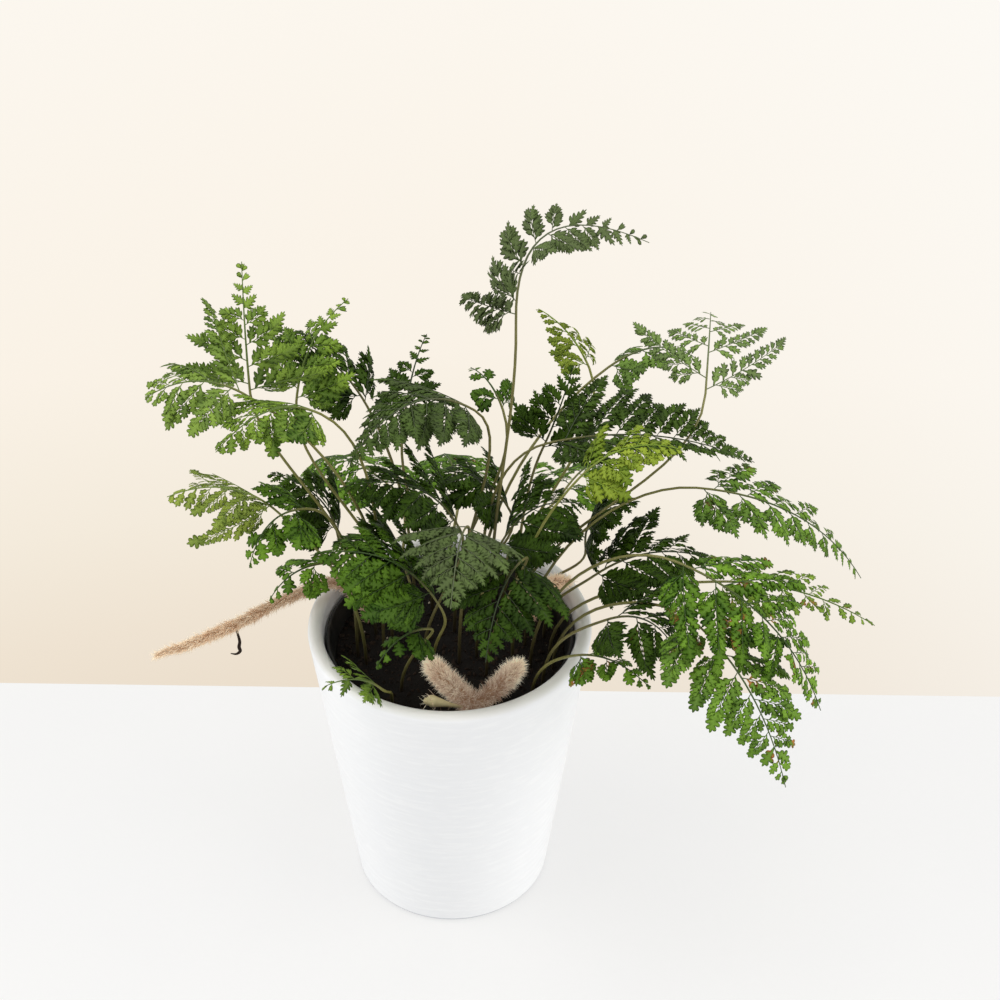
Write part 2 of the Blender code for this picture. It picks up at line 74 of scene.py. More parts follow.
flat_share = cos(CAMERA_PITCH)
ahead = Vector((sin(CAMERA_YAW) * flat_share, cos(CAMERA_YAW) * flat_share, -sin(CAMERA_PITCH)))
level = ahead.cross(UP).normalized()
upright = level.cross(ahead)
camera_right = level * cos(CAMERA_ROLL) + upright * sin(CAMERA_ROLL)
camera_up = upright * cos(CAMERA_ROLL) - level * sin(CAMERA_ROLL)

camera = bpy.data.objects.new("camera", bpy.data.cameras.new("camera"))
bpy.context.scene.collection.objects.link(camera)
turned = Matrix((camera_right, camera_up, -ahead)).transposed().to_4x4()
camera.matrix_world = Matrix.Translation(CAMERA_PLACE) @ turned
camera.data.lens = LENS
camera.data.sensor_width = SENSOR_WIDTH
bpy.context.scene.camera = camera
bpy.context.scene.view_settings.view_transform = "Standard"
print("Camera stands", round(CAMERA_PLACE.length, 3), "m from the foot of the pot")

# %% [markdown]
# ## A bench for node trees
#
# Materials and Geometry Nodes are both trees of nodes. Building them in code gets long when every
# node and link takes its own lines. Two small helpers keep it short.
#
# `Wire` stands for an output socket. Python's own operators are defined on it, so `1 - mask * 0.5`
# adds the Math nodes by itself. The reflected forms (`__radd__`, `__rsub__` and so on) are what
# make it work when the plain number comes first.
#
# `Bench.put` adds any other node: its type, then its settings, then what goes into its sockets.

# %% Wires that Python can calculate with
class Wire:
    """An output socket that takes part in sums."""

    def __init__(self, bench, socket):
        self.bench = bench
        self.socket = socket

    def maths(self, operation, *values):
        return self.bench.put("ShaderNodeMath", {"operation": operation}, dict(enumerate(values)))["Value"]

    def __add__(self, other):
        return self.maths("ADD", self, other)

    def __radd__(self, other):
        return self.maths("ADD", other, self)

    def __sub__(self, other):
        return self.maths("SUBTRACT", self, other)

    def __rsub__(self, other):
        return self.maths("SUBTRACT", other, self)

    def __mul__(self, other):
        return self.maths("MULTIPLY", self, other)

    def __rmul__(self, other):
        return self.maths("MULTIPLY", other, self)

    def __truediv__(self, other):
        return self.maths("DIVIDE", self, other)

    def __pow__(self, other):
        return self.maths("POWER", self, other)

    def clamped(self):
        """The value kept between 0 and 1."""
        return self.maths("MINIMUM", self.maths("MAXIMUM", self, 0.0), 1.0)

    def between(self, low, high):
        """0 below low, 1 above high, straight in between."""
        return ((self - low) / (high - low)).clamped()


class Placed:
    """A node that is already in its tree; index it to get an output."""

    def __init__(self, bench, node):
        self.bench = bench
        self.node = node

    def __getitem__(self, name):
        return Wire(self.bench, find_socket(self.node.outputs, name))


def find_socket(sockets, name):
    """A socket by number, by identifier or by the name that the node shows."""
    if isinstance(name, int):
        return sockets[name]
    for socket in sockets:
        if socket.identifier == name:
            return socket
    return sockets[name]


class Bench:
    """A node tree under construction."""

    def __init__(self, tree):
        self.tree = tree

    def put(self, kind, settings=None, sockets=None):
        """Add a node with its settings, then fill its sockets with values, wires or lists of wires."""
        node = self.tree.nodes.new(kind)
        for name, value in (settings or {}).items():
            if name == "stops":
                set_stops(node.color_ramp, value)
            else:
                setattr(node, name, value)
        for name, value in (sockets or {}).items():
            self.plug(find_socket(node.inputs, name), value)
        return Placed(self, node)

    def plug(self, socket, value):
        """Put a constant or a link into a socket."""
        if isinstance(value, list):
            for item in value:
                self.tree.links.new(item.socket, socket)
        elif isinstance(value, Wire):
            self.tree.links.new(value.socket, socket)
        else:
            socket.default_value = value


def set_stops(ramp, stops):
    """Give a colour ramp its stops: (position, (red, green, blue))."""
    while len(ramp.elements) > 1:
        ramp.elements.remove(ramp.elements[-1])
    for number, (position, colour) in enumerate(stops):
        stop = ramp.elements[0] if number == 0 else ramp.elements.new(position)
        stop.position = position
        stop.color = (*colour, 1.0)


print("The bench is ready")

# %% [markdown]
# ## Colours and finishes
#
# Colours are easiest to judge as the values that an image program shows, 0 to 255. Blender wants
# linear light, so one function converts them.
#
# A `Finish` is a bench for one material. It starts with a Principled shader whose constants are
# typed straight into its sockets, and `drive` links only what changes over the surface.

# %% Colours and the Finish class
def tone(red, green, blue):
    """An 8-bit screen colour as linear light."""
    shares = [value / 255 for value in (red, green, blue)]
    return tuple(v / 12.92 if v <= 0.04045 else ((v + 0.055) / 1.055) ** 2.4 for v in shares)


class Finish(Bench):
    """A material with one Principled shader."""

    def __init__(self, name, **constants):
        self.material = bpy.data.materials.new(name)
        self.material.use_nodes = True
        super().__init__(self.material.node_tree)
        self.shader = self.tree.nodes["Principled BSDF"]
        for socket, value in constants.items():
            self.shader.inputs[socket.replace("_", " ")].default_value = value

    def drive(self, socket, wire):
        """Link a wire to one of the shader's sockets."""
        self.plug(self.shader.inputs[socket], wire)

    def place(self):
        """Where on the object a point lies, in metres."""
        return self.put("ShaderNodeTexCoord")["Object"]

    def attribute(self, name, output="Fac"):
        """A value that the mesh carries."""
        return self.put("ShaderNodeAttribute", {"attribute_name": name})[output]

    def noise(self, scale, detail=3.0, roughness=0.5, vector=None):
        """Soft noise between 0 and 1."""
        sockets = {"Vector": vector or self.place(), "Scale": scale, "Detail": detail, "Roughness": roughness}
        return self.put("ShaderNodeTexNoise", None, sockets)["Fac"]

    def blend(self, share, first, second):
        """A colour between two others."""
        sockets = {"Factor_Float": share}
        for socket, colour in (("A_Color", first), ("B_Color", second)):
            sockets[socket] = colour if isinstance(colour, Wire) else (*colour, 1.0)
        return self.put("ShaderNodeMix", {"data_type": "RGBA"}, sockets)["Result_Color"]

    def bump(self, height, depth, strength=1.0):
        """Small relief: height is 0 to 1 and depth is in metres."""
        sockets = {"Height": height, "Distance": depth, "Strength": strength}
        self.drive("Normal", self.put("ShaderNodeBump", None, sockets)["Normal"])


print("A leaf green in linear light:", [round(v, 3) for v in tone(60, 120, 45)])

# %% [markdown]
# ## Table, backdrop and light
#
# The plant stands on a white table whose far edge is close behind the pot. Behind it is a cream
# wall that turns peach lower down. A wall could be a real plane, but then it would hide the plant
# from behind. We make it the World instead: camera rays see a gradient that depends only on the
# direction, and all other rays see an even, slightly warm white, as in a bright studio tent.
#
# Two large area lights add a little direction. The left one is the stronger, so the pot is
# lightest at its left side and darkest in the middle, which faces the camera.

# %% The table
TABLE_EDGE_MIDDLE = Vector((26.0, 116.0, 0.0)) * MM
TABLE_EDGE_TURN = radians(-2.5)
TABLE_HALF_WIDTH = 3.0
TABLE_DEPTH = 4.0
TABLE_THICKNESS = 0.018
TABLE_TOP = -0.0002
TABLE_EDGE_ROUND = 0.0015


def make_object(name, mesh, *materials):
    """An object at the origin with its materials."""
    thing = bpy.data.objects.new(name, mesh)
    for material in materials:
        mesh.materials.append(material)
    bpy.context.scene.collection.objects.link(thing)
    return thing


def make_table():
    """A long white slab with a small round on its edges."""
    shape = bmesh.new()
    bmesh.ops.create_cube(shape, size=1.0)
    for vertex in shape.verts:
        vertex.co.x *= 2 * TABLE_HALF_WIDTH
        vertex.co.y = (vertex.co.y - 0.5) * TABLE_DEPTH
        vertex.co.z = (vertex.co.z - 0.5) * TABLE_THICKNESS
    bmesh.ops.bevel(shape, geom=list(shape.edges), offset=TABLE_EDGE_ROUND, segments=3, affect="EDGES")
    shift = Matrix.Translation(TABLE_EDGE_MIDDLE + UP * TABLE_TOP)
    turn = Matrix.Rotation(TABLE_EDGE_TURN, 4, "Z")
    bmesh.ops.transform(shape, matrix=shift @ turn, verts=shape.verts)
    mesh = bpy.data.meshes.new("table")
    shape.to_mesh(mesh)
    shape.free()
    lacquer = Finish("white_lacquer", Roughness=0.6, Emission_Strength=0.66)
    wear = lacquer.noise(9.0, 4.0)
    lacquer.drive("Base Color", lacquer.blend(wear, tone(126, 126, 127), tone(129, 129, 128)))
    lacquer.drive("Emission Color", lacquer.blend(wear, tone(253, 253, 253), tone(255, 255, 254)))
    lacquer.bump(lacquer.noise(700.0), 0.00004)
    return make_object("table", mesh, lacquer.material)


table = make_table()
print("Table:", len(table.data.polygons), "faces")

# %% The wall as a World, and the studio light
WALL_STOPS = [
    (0.00, tone(235, 222, 204)),
    (0.10, tone(239, 227, 210)),
    (0.24, tone(244, 235, 220)),
    (0.45, tone(250, 242, 230)),
    (1.00, tone(252, 247, 239)),
]
WALL_LOW = -0.68
WALL_HIGH = -0.40
WALL_BRIGHT_SIDE = tone(253, 252, 249)
WALL_BRIGHT_FROM = 0.02
WALL_BRIGHT_TO = 0.30
WALL_BRIGHT_SHARE = 0.55
TENT_LIGHT = tone(255, 252, 247)
TENT_STRENGTH = 0.58
LIGHT_TARGET = Vector((0.0, 0.0, 0.15))
# Place in metres, side in metres, power in watts, colour.
LIGHTS = {
    "left_window": ((-1.5, -0.3, 1.1), 1.6, 17.0, (1.0, 0.98, 0.95)),
    "right_window": ((1.5, -0.5, 0.8), 1.5, 15.5, (1.0, 0.97, 0.93)),
    "top_panel": ((0.0, 0.1, 1.9), 1.2, 10.5, (1.0, 1.0, 1.0)),
}


def make_world():
    """A studio tent that the camera sees as a cream wall."""
    world = bpy.data.worlds.new("studio")
    world.use_nodes = True
    bench = Bench(world.node_tree)
    bench.tree.nodes.clear()
    direction = bench.put("ShaderNodeTexCoord")["Generated"]
    split = bench.put("ShaderNodeSeparateXYZ", None, {"Vector": direction})
    height = split["Z"].between(WALL_LOW, WALL_HIGH)
    wall = bench.put("ShaderNodeValToRGB", {"stops": WALL_STOPS}, {"Fac": height})["Color"]
    side = split["X"].between(WALL_BRIGHT_FROM, WALL_BRIGHT_TO) * WALL_BRIGHT_SHARE
    sockets = {"Factor_Float": side, "A_Color": wall, "B_Color": (*WALL_BRIGHT_SIDE, 1.0)}
    seen = bench.put("ShaderNodeMix", {"data_type": "RGBA"}, sockets)["Result_Color"]
    picture = bench.put("ShaderNodeBackground", None, {"Color": seen})
    tent = bench.put("ShaderNodeBackground", None, {"Color": (*TENT_LIGHT, 1.0), "Strength": TENT_STRENGTH})
    eye = bench.put("ShaderNodeLightPath")["Is Camera Ray"]
    choice = bench.put("ShaderNodeMixShader", None, {0: eye, 1: tent["Background"], 2: picture["Background"]})
    bench.put("ShaderNodeOutputWorld", None, {"Surface": choice["Shader"]})
    return world


def add_light(name, place, side, power, colour):
    """A square area light that looks at the middle of the plant."""
    light = bpy.data.lights.new(name, "AREA")
    light.shape = "RECTANGLE"
    light.size = light.size_y = side
    light.energy = power
    light.color = colour
    lamp = bpy.data.objects.new(name, light)
    bpy.context.scene.collection.objects.link(lamp)
    lamp.location = place
    lamp.rotation_euler = (LIGHT_TARGET - Vector(place)).to_track_quat("-Z", "Y").to_euler()


bpy.context.scene.world = make_world()
for light_name, light_values in LIGHTS.items():
    add_light(light_name, *light_values)
print("Studio: a tent and", len(LIGHTS), "area lights")

# %% [markdown]
# ## The glazed pot
#
# The real pot is thrown or cast stoneware under a satin white glaze. Its wall leans out in a
# straight line, its lip is round, and faint rings run round the wall, one every 4 to 5 mm.
# A round piece is a profile spun about an axis. The rings are so shallow that a bump map could
# carry them, but a real ripple of a tenth of a millimetre also shows at the edge and survives an
# export, so they go into the profile.

# %% Spin a profile into a round piece
def spun(name, profile, steps):
    """Spin (radius, height) pairs in millimetres about the upright axis into a closed mesh."""
    shape = bmesh.new()
    points = [shape.verts.new((radius * MM, 0.0, height * MM)) for radius, height in profile]
    edges = [shape.edges.new(pair) for pair in zip(points, points[1:])]
    bmesh.ops.spin(shape, geom=points + edges, cent=(0, 0, 0), axis=(0, 0, 1), angle=2 * pi, steps=steps)
    bmesh.ops.remove_doubles(shape, verts=shape.verts, dist=1e-6)
    bmesh.ops.recalc_face_normals(shape, faces=shape.faces)
    mesh = bpy.data.meshes.new(name)
    shape.to_mesh(mesh)
    shape.free()
    mesh.shade_smooth()
    return mesh


def arc(centre, radius, start, end, steps):
    """Points on an arc in the profile's plane, angles in degrees."""
    angles = [radians(start + (end - start) * i / steps) for i in range(steps + 1)]
    return [(centre[0] + radius * cos(a), centre[1] + radius * sin(a)) for a in angles]


# %% The pot's shape
POT_HEIGHT = 150.0
POT_RIM_RADIUS = 64.0
POT_BASE_RADIUS = 46.0
POT_WALL = 6.5
POT_FLOOR = 8.0
POT_FOOT_ROUND = 1.5
RING_PITCH = 4.6
RING_DEPTH = 0.16
RING_FADE_LOW = 8.0
RING_FADE_HIGH = 5.0
WALL_STEPS = 190


def pot_profile():
    """Foot, rippled wall, round lip, smooth inside and floor."""
    lip = POT_WALL / 2
    foot, top = POT_FOOT_ROUND, POT_HEIGHT - lip
    slope = (POT_RIM_RADIUS - POT_BASE_RADIUS) / (top - foot)
    profile = [(0.0, 0.0)] + arc((POT_BASE_RADIUS - foot, foot), foot, -90, 0, 5)
    for i in range(1, WALL_STEPS):
        height = foot + (top - foot) * i / WALL_STEPS
        fade = min(1.0, (height - foot) / RING_FADE_LOW, (top - height) / RING_FADE_HIGH)
        ripple = RING_DEPTH * fade * (0.5 + 0.5 * cos(2 * pi * height / RING_PITCH))
        profile.append((POT_BASE_RADIUS + slope * (height - foot) - ripple, height))
    profile += arc((POT_RIM_RADIUS - lip, top), lip, 0, 180, 12)
    inside = POT_BASE_RADIUS - POT_WALL + 1.2
    profile += [(inside + 2.0, POT_FLOOR + 8.0)] + arc((inside - 2.0, POT_FLOOR + 4.0), 4.0, 0, -90, 5)
    return profile + [(0.0, POT_FLOOR)]


# %% [markdown]
# The glaze is almost white with a breath of blue, satin rather than mirror-like. Over the lip it
# runs thin, and the grey body shows through a little. A grey line round the very foot is a painted
# contact shadow, and faint lighter streaks follow the wall round. Fine pinholes and a slow
# waviness of the surface keep the reflections from looking computed.

# %% The glaze and the finished pot
THIN_GLAZE_BAND = (0.1476, 0.1499)
# Heights of the painted contact shadow at the very foot, in metres.
CONTACT_SHADOW_BAND = (0.0005, 0.0016)
STREAK_STRETCH = (1.0, 1.0, 5.5)
WHITE_GLAZE = (tone(236, 239, 243), tone(243, 245, 248))
STREAK_WHITE = tone(249, 251, 253)
CONTACT_SHADOW_GREY = tone(128, 138, 150)
THIN_GREY = tone(218, 218, 210)


def glaze_finish():
    """Satin white glaze that thins over the lip, with a painted contact shadow at the foot."""
    glaze = Finish("satin_white_glaze", Specular_IOR_Level=0.45, Coat_Roughness=0.12)
    place = glaze.place()
    height = glaze.put("ShaderNodeSeparateXYZ", None, {"Vector": place})["Z"]
    thin = height.between(*THIN_GLAZE_BAND)
    cloud = glaze.noise(14.0, 4.0)
    body = glaze.blend(cloud, *WHITE_GLAZE)
    flattened = glaze.put("ShaderNodeMapping", None, {"Vector": place, "Scale": STREAK_STRETCH})["Vector"]
    ripples = glaze.noise(85.0, 2.0, vector=flattened)
    streaked = glaze.blend(ripples.between(0.50, 0.66) * 0.30, body, STREAK_WHITE)
    # A grey band at the very foot is a painted contact shadow.
    with_contact_shadow = glaze.blend(1 - height.between(*CONTACT_SHADOW_BAND), streaked, CONTACT_SHADOW_GREY)
    glaze.drive("Base Color", glaze.blend(thin * 0.70, with_contact_shadow, THIN_GREY))
    glaze.drive("Roughness", glaze.noise(45.0, 5.0) * 0.16 + 0.26)
    glaze.drive("Coat Weight", cloud * 0.12 + 0.06)
    pinholes = glaze.put("ShaderNodeTexVoronoi", None, {"Vector": place, "Scale": 260.0})["Distance"]
    wave = glaze.noise(60.0, 3.0) * 0.45 + pinholes.between(0.0, 0.12) * 0.20 + ripples * 0.35
    glaze.bump(wave, 0.00030, 0.5)
    return glaze.material


def stands_for(piece, node):
    """Let a finished piece take the place of a CAD node."""
    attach(piece, "root")
    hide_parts(node)
    return piece


pot = make_object("glazed_pot", spun("glazed_pot", pot_profile(), 144), glaze_finish())
stands_for(pot, "outer_pot")
print("Pot:", len(pot.data.polygons), "faces,", round((POT_HEIGHT - RING_FADE_LOW) / RING_PITCH), "rings")

# %% [markdown]
# ## The black grow pot
#
# Nurseries grow these plants in thin injection-moulded pots, and this one is simply set inside
# the glazed pot. Only its rim shows, as a dark ring. It gets the rolled bead that stiffens such a
# rim, and a finish that is dusty where watering has left a tide mark.

# %% Grow pot
LINER_TOP = 143.0
LINER_TOP_RADIUS = 56.2
LINER_BASE_RADIUS = 37.0
LINER_WALL = 1.3
GAP = 0.3


def liner_profile():
    """Thin wall with a rolled bead at the top."""
    bottom = POT_FLOOR + GAP
    bead = 0.8
    outer = LINER_TOP_RADIUS - bead * 0.3
    profile = [(0.0, bottom), (LINER_BASE_RADIUS - 1.0, bottom), (LINER_BASE_RADIUS, bottom + 1.0)]
    profile += [(outer - bead * 1.2, LINER_TOP - 3.2)]
    profile += arc((outer - bead, LINER_TOP - bead), bead, -40, 200, 10)
    profile += [(LINER_TOP_RADIUS - LINER_WALL - 1.6, LINER_TOP - 4.0)]
    return profile + [(LINER_BASE_RADIUS - LINER_WALL, bottom + LINER_WALL), (0.0, bottom + LINER_WALL)]


def plastic_finish():
    """Black plastic with a dusty tide mark."""
    plastic = Finish("dusty_black_plastic", Specular_IOR_Level=0.4)
    dust = plastic.noise(120.0, 6.0, 0.7).between(0.5, 0.8) * 0.5
    plastic.drive("Base Color", plastic.blend(dust, tone(24, 26, 26), tone(92, 84, 74)))
    plastic.drive("Roughness", dust * 0.4 + 0.42)
    plastic.bump(plastic.noise(900.0), 0.00005)
    return plastic.material


liner = make_object("grow_pot", spun("grow_pot", liner_profile(), 96), plastic_finish())
stands_for(liner, "nursery_pot")
print("Grow pot:", len(liner.data.polygons), "faces")

# %% [markdown]
# ## Geometry Nodes for what repeats
#
# Leaflets, hairs and crumbs of bark are all the same idea: one small mesh, placed very many times.
# Making each copy in Python would be slow and would need a lot of code. Geometry Nodes do it with
# Instance on Points, and one tree serves every piece that uses the idea.
#
# The helpers below create a tree with named inputs, read an attribute by its name, run a tree on a
# mesh and keep the result as a plain mesh, because instances don't survive an export, and gather
# the small meshes that a tree picks from.

# %% Helpers for Geometry Nodes
SOCKET_KINDS = {
    "geometry": "NodeSocketGeometry", "float": "NodeSocketFloat", "int": "NodeSocketInt",
    "collection": "NodeSocketCollection", "material": "NodeSocketMaterial",
}


def make_tree(name, inputs):
    """A geometry tree with named inputs; returns its bench and the wires of its inputs."""
    tree = bpy.data.node_groups.new(name, "GeometryNodeTree")
    tree.interface.new_socket("Geometry", in_out="INPUT", socket_type=SOCKET_KINDS["geometry"])
    tree.interface.new_socket("Geometry", in_out="OUTPUT", socket_type=SOCKET_KINDS["geometry"])
    for label, kind in inputs.items():
        tree.interface.new_socket(label, in_out="INPUT", socket_type=SOCKET_KINDS[kind])
    bench = Bench(tree)
    start = bench.put("NodeGroupInput")
    return bench, {label: start[label] for label in ["Geometry", *inputs]}


def named(bench, name, kind="FLOAT"):
    """The value of a named attribute."""
    return bench.put("GeometryNodeInputNamedAttribute", {"data_type": kind}, {"Name": name})["Attribute"]


def grown(name, seed_mesh, tree, values):
    """Run a geometry tree on a mesh and return the result as a plain mesh."""
    host = make_object(name, seed_mesh)
    modifier = host.modifiers.new("growth", "NODES")
    modifier.node_group = tree
    for item in tree.interface.items_tree:
        if item.in_out == "INPUT" and item.name in values:
            modifier[item.identifier] = values[item.name]
    bpy.context.view_layer.update()
    result = host.evaluated_get(bpy.context.evaluated_depsgraph_get())
    mesh = bpy.data.meshes.new_from_object(result)
    bpy.data.objects.remove(host)
    mesh.name = name
    return mesh


def kit_of(name, meshes):
    """A collection of small meshes that a tree picks from by their order in the alphabet."""
    kit = bpy.data.collections.new(name)
    for number, mesh in enumerate(meshes):
        kit.objects.link(bpy.data.objects.new(f"{name}_{number:02d}", mesh))
    return kit


print("Helpers for trees are ready")

# %% [markdown]
# The three trees of this plant share many steps: draw a random value for each point, sweep a round
# section along edges, scatter points over faces, put a small mesh on every point, give a finish and
# join the parts. Each step is a short function that adds its nodes to a tree.
#
# A sweep is smoothed only when it gets its finish, because fur is scattered on it by its flat
# normals.

# %% Steps that the trees share
def chance(bench, seed, kind="FLOAT", limits=None):
    """A random value for each point, between 0 and 1 or between the limits."""
    ending = {"FLOAT": "_001", "INT": "_002", "FLOAT_VECTOR": ""}[kind]
    sockets = {"Seed": seed}
    if limits:
        sockets.update({"Min" + ending: limits[0], "Max" + ending: limits[1]})
    return bench.put("FunctionNodeRandomValue", {"data_type": kind}, sockets)["Value" + ending]


def painted(bench, geometry, finish):
    """The geometry with a finish."""
    return bench.put("GeometryNodeSetMaterial", None, {"Geometry": geometry, "Material": finish})["Geometry"]


def swept(bench, edges, sides):
    """A round section swept along edges, as thick as each of their points says."""
    paths = bench.put("GeometryNodeMeshToCurve", None, {"Mesh": edges})
    section = bench.put("GeometryNodeCurvePrimitiveCircle", {"mode": "RADIUS"}, {
        "Resolution": sides, "Radius": 1.0,
    })
    tube = bench.put("GeometryNodeCurveToMesh", None, {
        "Curve": paths["Curve"], "Profile Curve": section["Curve"],
        "Scale": named(bench, "thick"), "Fill Caps": True,
    })
    return tube["Mesh"]


def smoothed(bench, geometry):
    """The geometry shaded smooth."""
    sockets = {"Geometry": geometry, "Shade Smooth": True}
    return bench.put("GeometryNodeSetShadeSmooth", None, sockets)["Geometry"]


def scaled(bench, vector, factor):
    """A vector made longer or shorter."""
    sockets = {"Vector": vector, "Scale": factor}
    return bench.put("ShaderNodeVectorMath", {"operation": "SCALE"}, sockets)["Vector"]


def combined(bench, operation, first, second):
    """Two vectors added or subtracted."""
    return bench.put("ShaderNodeVectorMath", {"operation": operation}, {0: first, 1: second})["Vector"]


def scattered(bench, ground, density, seed, shade_seed, where=True):
    """Points at random on the faces of a ground: the node itself, and its points with a random shade."""
    spots = bench.put("GeometryNodeDistributePointsOnFaces", {"distribute_method": "RANDOM"}, {
        "Mesh": ground, "Density": density, "Seed": seed, "Selection": where,
    })
    shaded = bench.put("GeometryNodeStoreNamedAttribute", {"data_type": "FLOAT", "domain": "POINT"}, {
        "Geometry": spots["Points"], "Name": "shade", "Value": chance(bench, shade_seed),
    })
    return spots, shaded["Geometry"]


def copies_of(bench, kit, points, number, turn, size):
    meshes = bench.put("GeometryNodeCollectionInfo", None, {
        "Collection": kit, "Separate Children": True, "Reset Children": True,
    })
    copies = bench.put("GeometryNodeInstanceOnPoints", None, {
        "Points": points, "Instance": meshes["Instances"], "Pick Instance": True,
        "Instance Index": number, "Rotation": turn, "Scale": size,
    })
    return bench.put("GeometryNodeRealizeInstances", None, {"Geometry": copies["Instances"]})["Geometry"]


def finish_tree(bench, *parts):
    """Join the parts into the tree's result."""
    both = bench.put("GeometryNodeJoinGeometry", None, {"Geometry": list(parts)})
    bench.put("NodeGroupOutput", None, {"Geometry": both["Geometry"]})
    return bench.tree


print("Steps that the trees share are ready")

# %% [markdown]
# ## Potting mix
#
# The mix is fine bark and peat, nearly black when moist, with a few pale crumbs. A flat disc would
# look like a lid. The surface here is a disc whose points are lifted by smooth noise into small
# mounds, and the tree below scatters angular crumbs of three shapes over it.

# %% Crumbs and the scattering tree
SOIL_TOP = 132.0
CRUMBS_PER_SQUARE_METRE = 260000.0


def crumb_mesh(number):
    """An angular crumb about one unit across."""
    draw = Random(400 + number)
    shape = bmesh.new()
    bmesh.ops.create_icosphere(shape, subdivisions=1, radius=0.5)
    stretch = Vector((1.0, draw.uniform(0.45, 0.9), draw.uniform(0.35, 0.7)))
    for vertex in shape.verts:
        vertex.co = Vector(a * b for a, b in zip(vertex.co, stretch)) * draw.uniform(0.7, 1.15)
    mesh = bpy.data.meshes.new("crumb")
    shape.to_mesh(mesh)
    shape.free()
    return mesh


def scatter_tree():
    bench, wires = make_tree("Scatter crumbs", {
        "Crumbs": "collection", "Ground finish": "material", "Crumb finish": "material",
        "Density": "float", "Smallest": "float", "Largest": "float", "Seed": "int",
    })
    points = scattered(bench, wires["Geometry"], wires["Density"], wires["Seed"], 5,
                       named(bench, "open_air", "BOOLEAN"))[1]
    turn = chance(bench, 6, "FLOAT_VECTOR", ((0.0, 0.0, 0.0), (6.3, 6.3, 6.3)))
    size = wires["Smallest"] + chance(bench, 7) ** 4 * (wires["Largest"] - wires["Smallest"])
    number = chance(bench, 8, "INT", (0, 2))
    crumbs = copies_of(bench, wires["Crumbs"], points, number, turn, size)
    return finish_tree(bench, painted(bench, wires["Geometry"], wires["Ground finish"]),
                       painted(bench, crumbs, wires["Crumb finish"]))


# %% The ground and its finish
GROUND_RINGS = 26
GROUND_SPOKES = 72


def ground_height(x, y):
    """Low mounds over the whole surface."""
    waves = sin(x * 0.21 + 1.0) * cos(y * 0.17) + 0.6 * sin(x * 0.43 + y * 0.37)
    return SOIL_TOP - 0.6 + 0.8 * waves


def ground_mesh():
    """A closed plug of soil whose top is mounded; the open_air attribute marks the top."""
    bottom = POT_FLOOR + GAP + LINER_WALL + GAP
    low_radius = LINER_BASE_RADIUS - LINER_WALL - GAP
    top_radius = LINER_TOP_RADIUS - LINER_WALL - 2 * GAP - 1.6
    radii = [top_radius * (i + 1) / GROUND_RINGS for i in range(GROUND_RINGS)]
    angles = [2 * pi * k / GROUND_SPOKES for k in range(GROUND_SPOKES)]
    points = [(0.0, 0.0, ground_height(0, 0))]
    for radius in radii:
        for a in angles:
            x, y = radius * cos(a), radius * sin(a)
            points.append((x, y, ground_height(x, y)))
    points += [(low_radius * cos(a), low_radius * sin(a), bottom) for a in angles]
    points.append((0.0, 0.0, bottom))
    faces = []
    last = len(points) - 1
    for k in range(GROUND_SPOKES):
        j = (k + 1) % GROUND_SPOKES
        faces.append((0, 1 + k, 1 + j))
        for ring in range(GROUND_RINGS):
            a, b = 1 + ring * GROUND_SPOKES, 1 + (ring + 1) * GROUND_SPOKES
            faces.append((a + k, b + k, b + j, a + j))
        faces.append((last, last - GROUND_SPOKES + j, last - GROUND_SPOKES + k))
    mesh = bpy.data.meshes.new("ground")
    mesh.from_pydata([Vector(p) * MM for p in points], [], faces)
    top = mesh.attributes.new("open_air", "BOOLEAN", "FACE")
    top.data.foreach_set("value", [face.normal.z > 0.5 for face in mesh.polygons])
    mesh.shade_smooth()
    return mesh


def earth_finish(name, dark, light, pale, pale_share):
    """Moist mix; a share of the pieces is pale."""
    earth = Finish(name, Specular_IOR_Level=0.25)
    grain = earth.noise(420.0, 6.0, 0.7)
    shade = earth.attribute("shade")
    brown = earth.blend(grain * 0.5 + shade * 0.5, dark, light)
    is_pale = shade.between(1.0 - pale_share, 1.0 - pale_share + 0.002)
    earth.drive("Base Color", earth.blend(is_pale, brown, pale))
    earth.drive("Roughness", grain * 0.25 + 0.7)
    earth.bump(grain, 0.0006)
    return earth.material


soil_mesh = grown("potting_mix", ground_mesh(), scatter_tree(), {
    "Crumbs": kit_of("crumbs", [crumb_mesh(number) for number in range(3)]),
    "Ground finish": earth_finish("moist_peat", tone(9, 7, 5), tone(28, 21, 15), tone(28, 21, 15), 0.0),
    "Crumb finish": earth_finish("bark_crumbs", tone(9, 7, 5), tone(52, 38, 27), tone(170, 160, 142), 0.012),
    "Density": CRUMBS_PER_SQUARE_METRE, "Smallest": 0.7 * MM, "Largest": 4.2 * MM, "Seed": 11,
})
soil = stands_for(make_object("potting_mix", soil_mesh), "soil")
print("Potting mix:", len(soil.data.polygons), "faces")

# %% [markdown]
# ## The shape of a leaflet
#
# Each branch of a frond carries small leaflets with a wedge-shaped foot and rounded lobes.
# One function draws them all. It walks up the leaflet's own rib, puts a lobe on each side at every
# step and a round tip on the end. Short leaflets get one pair of lobes, longer ones two or four.
#
# A leaf could be one flat sheet, but a sheet has no edge and looks like paper from the side. The
# mesh is a thin lens instead: the outline is shared, and the rib and the middles of the lobes are
# raised on the upper side and lowered underneath. Three values go with each point: `side` is 0 on
# top and 1 underneath, `vein` is 1 along the rib, and `rim` is 1 at the outline.

# %% One leaflet as a closed lens
LEAFLET_PUFF = 0.030
LEAFLET_CURL = 0.16
STALK_HALF_WIDTH = 0.030


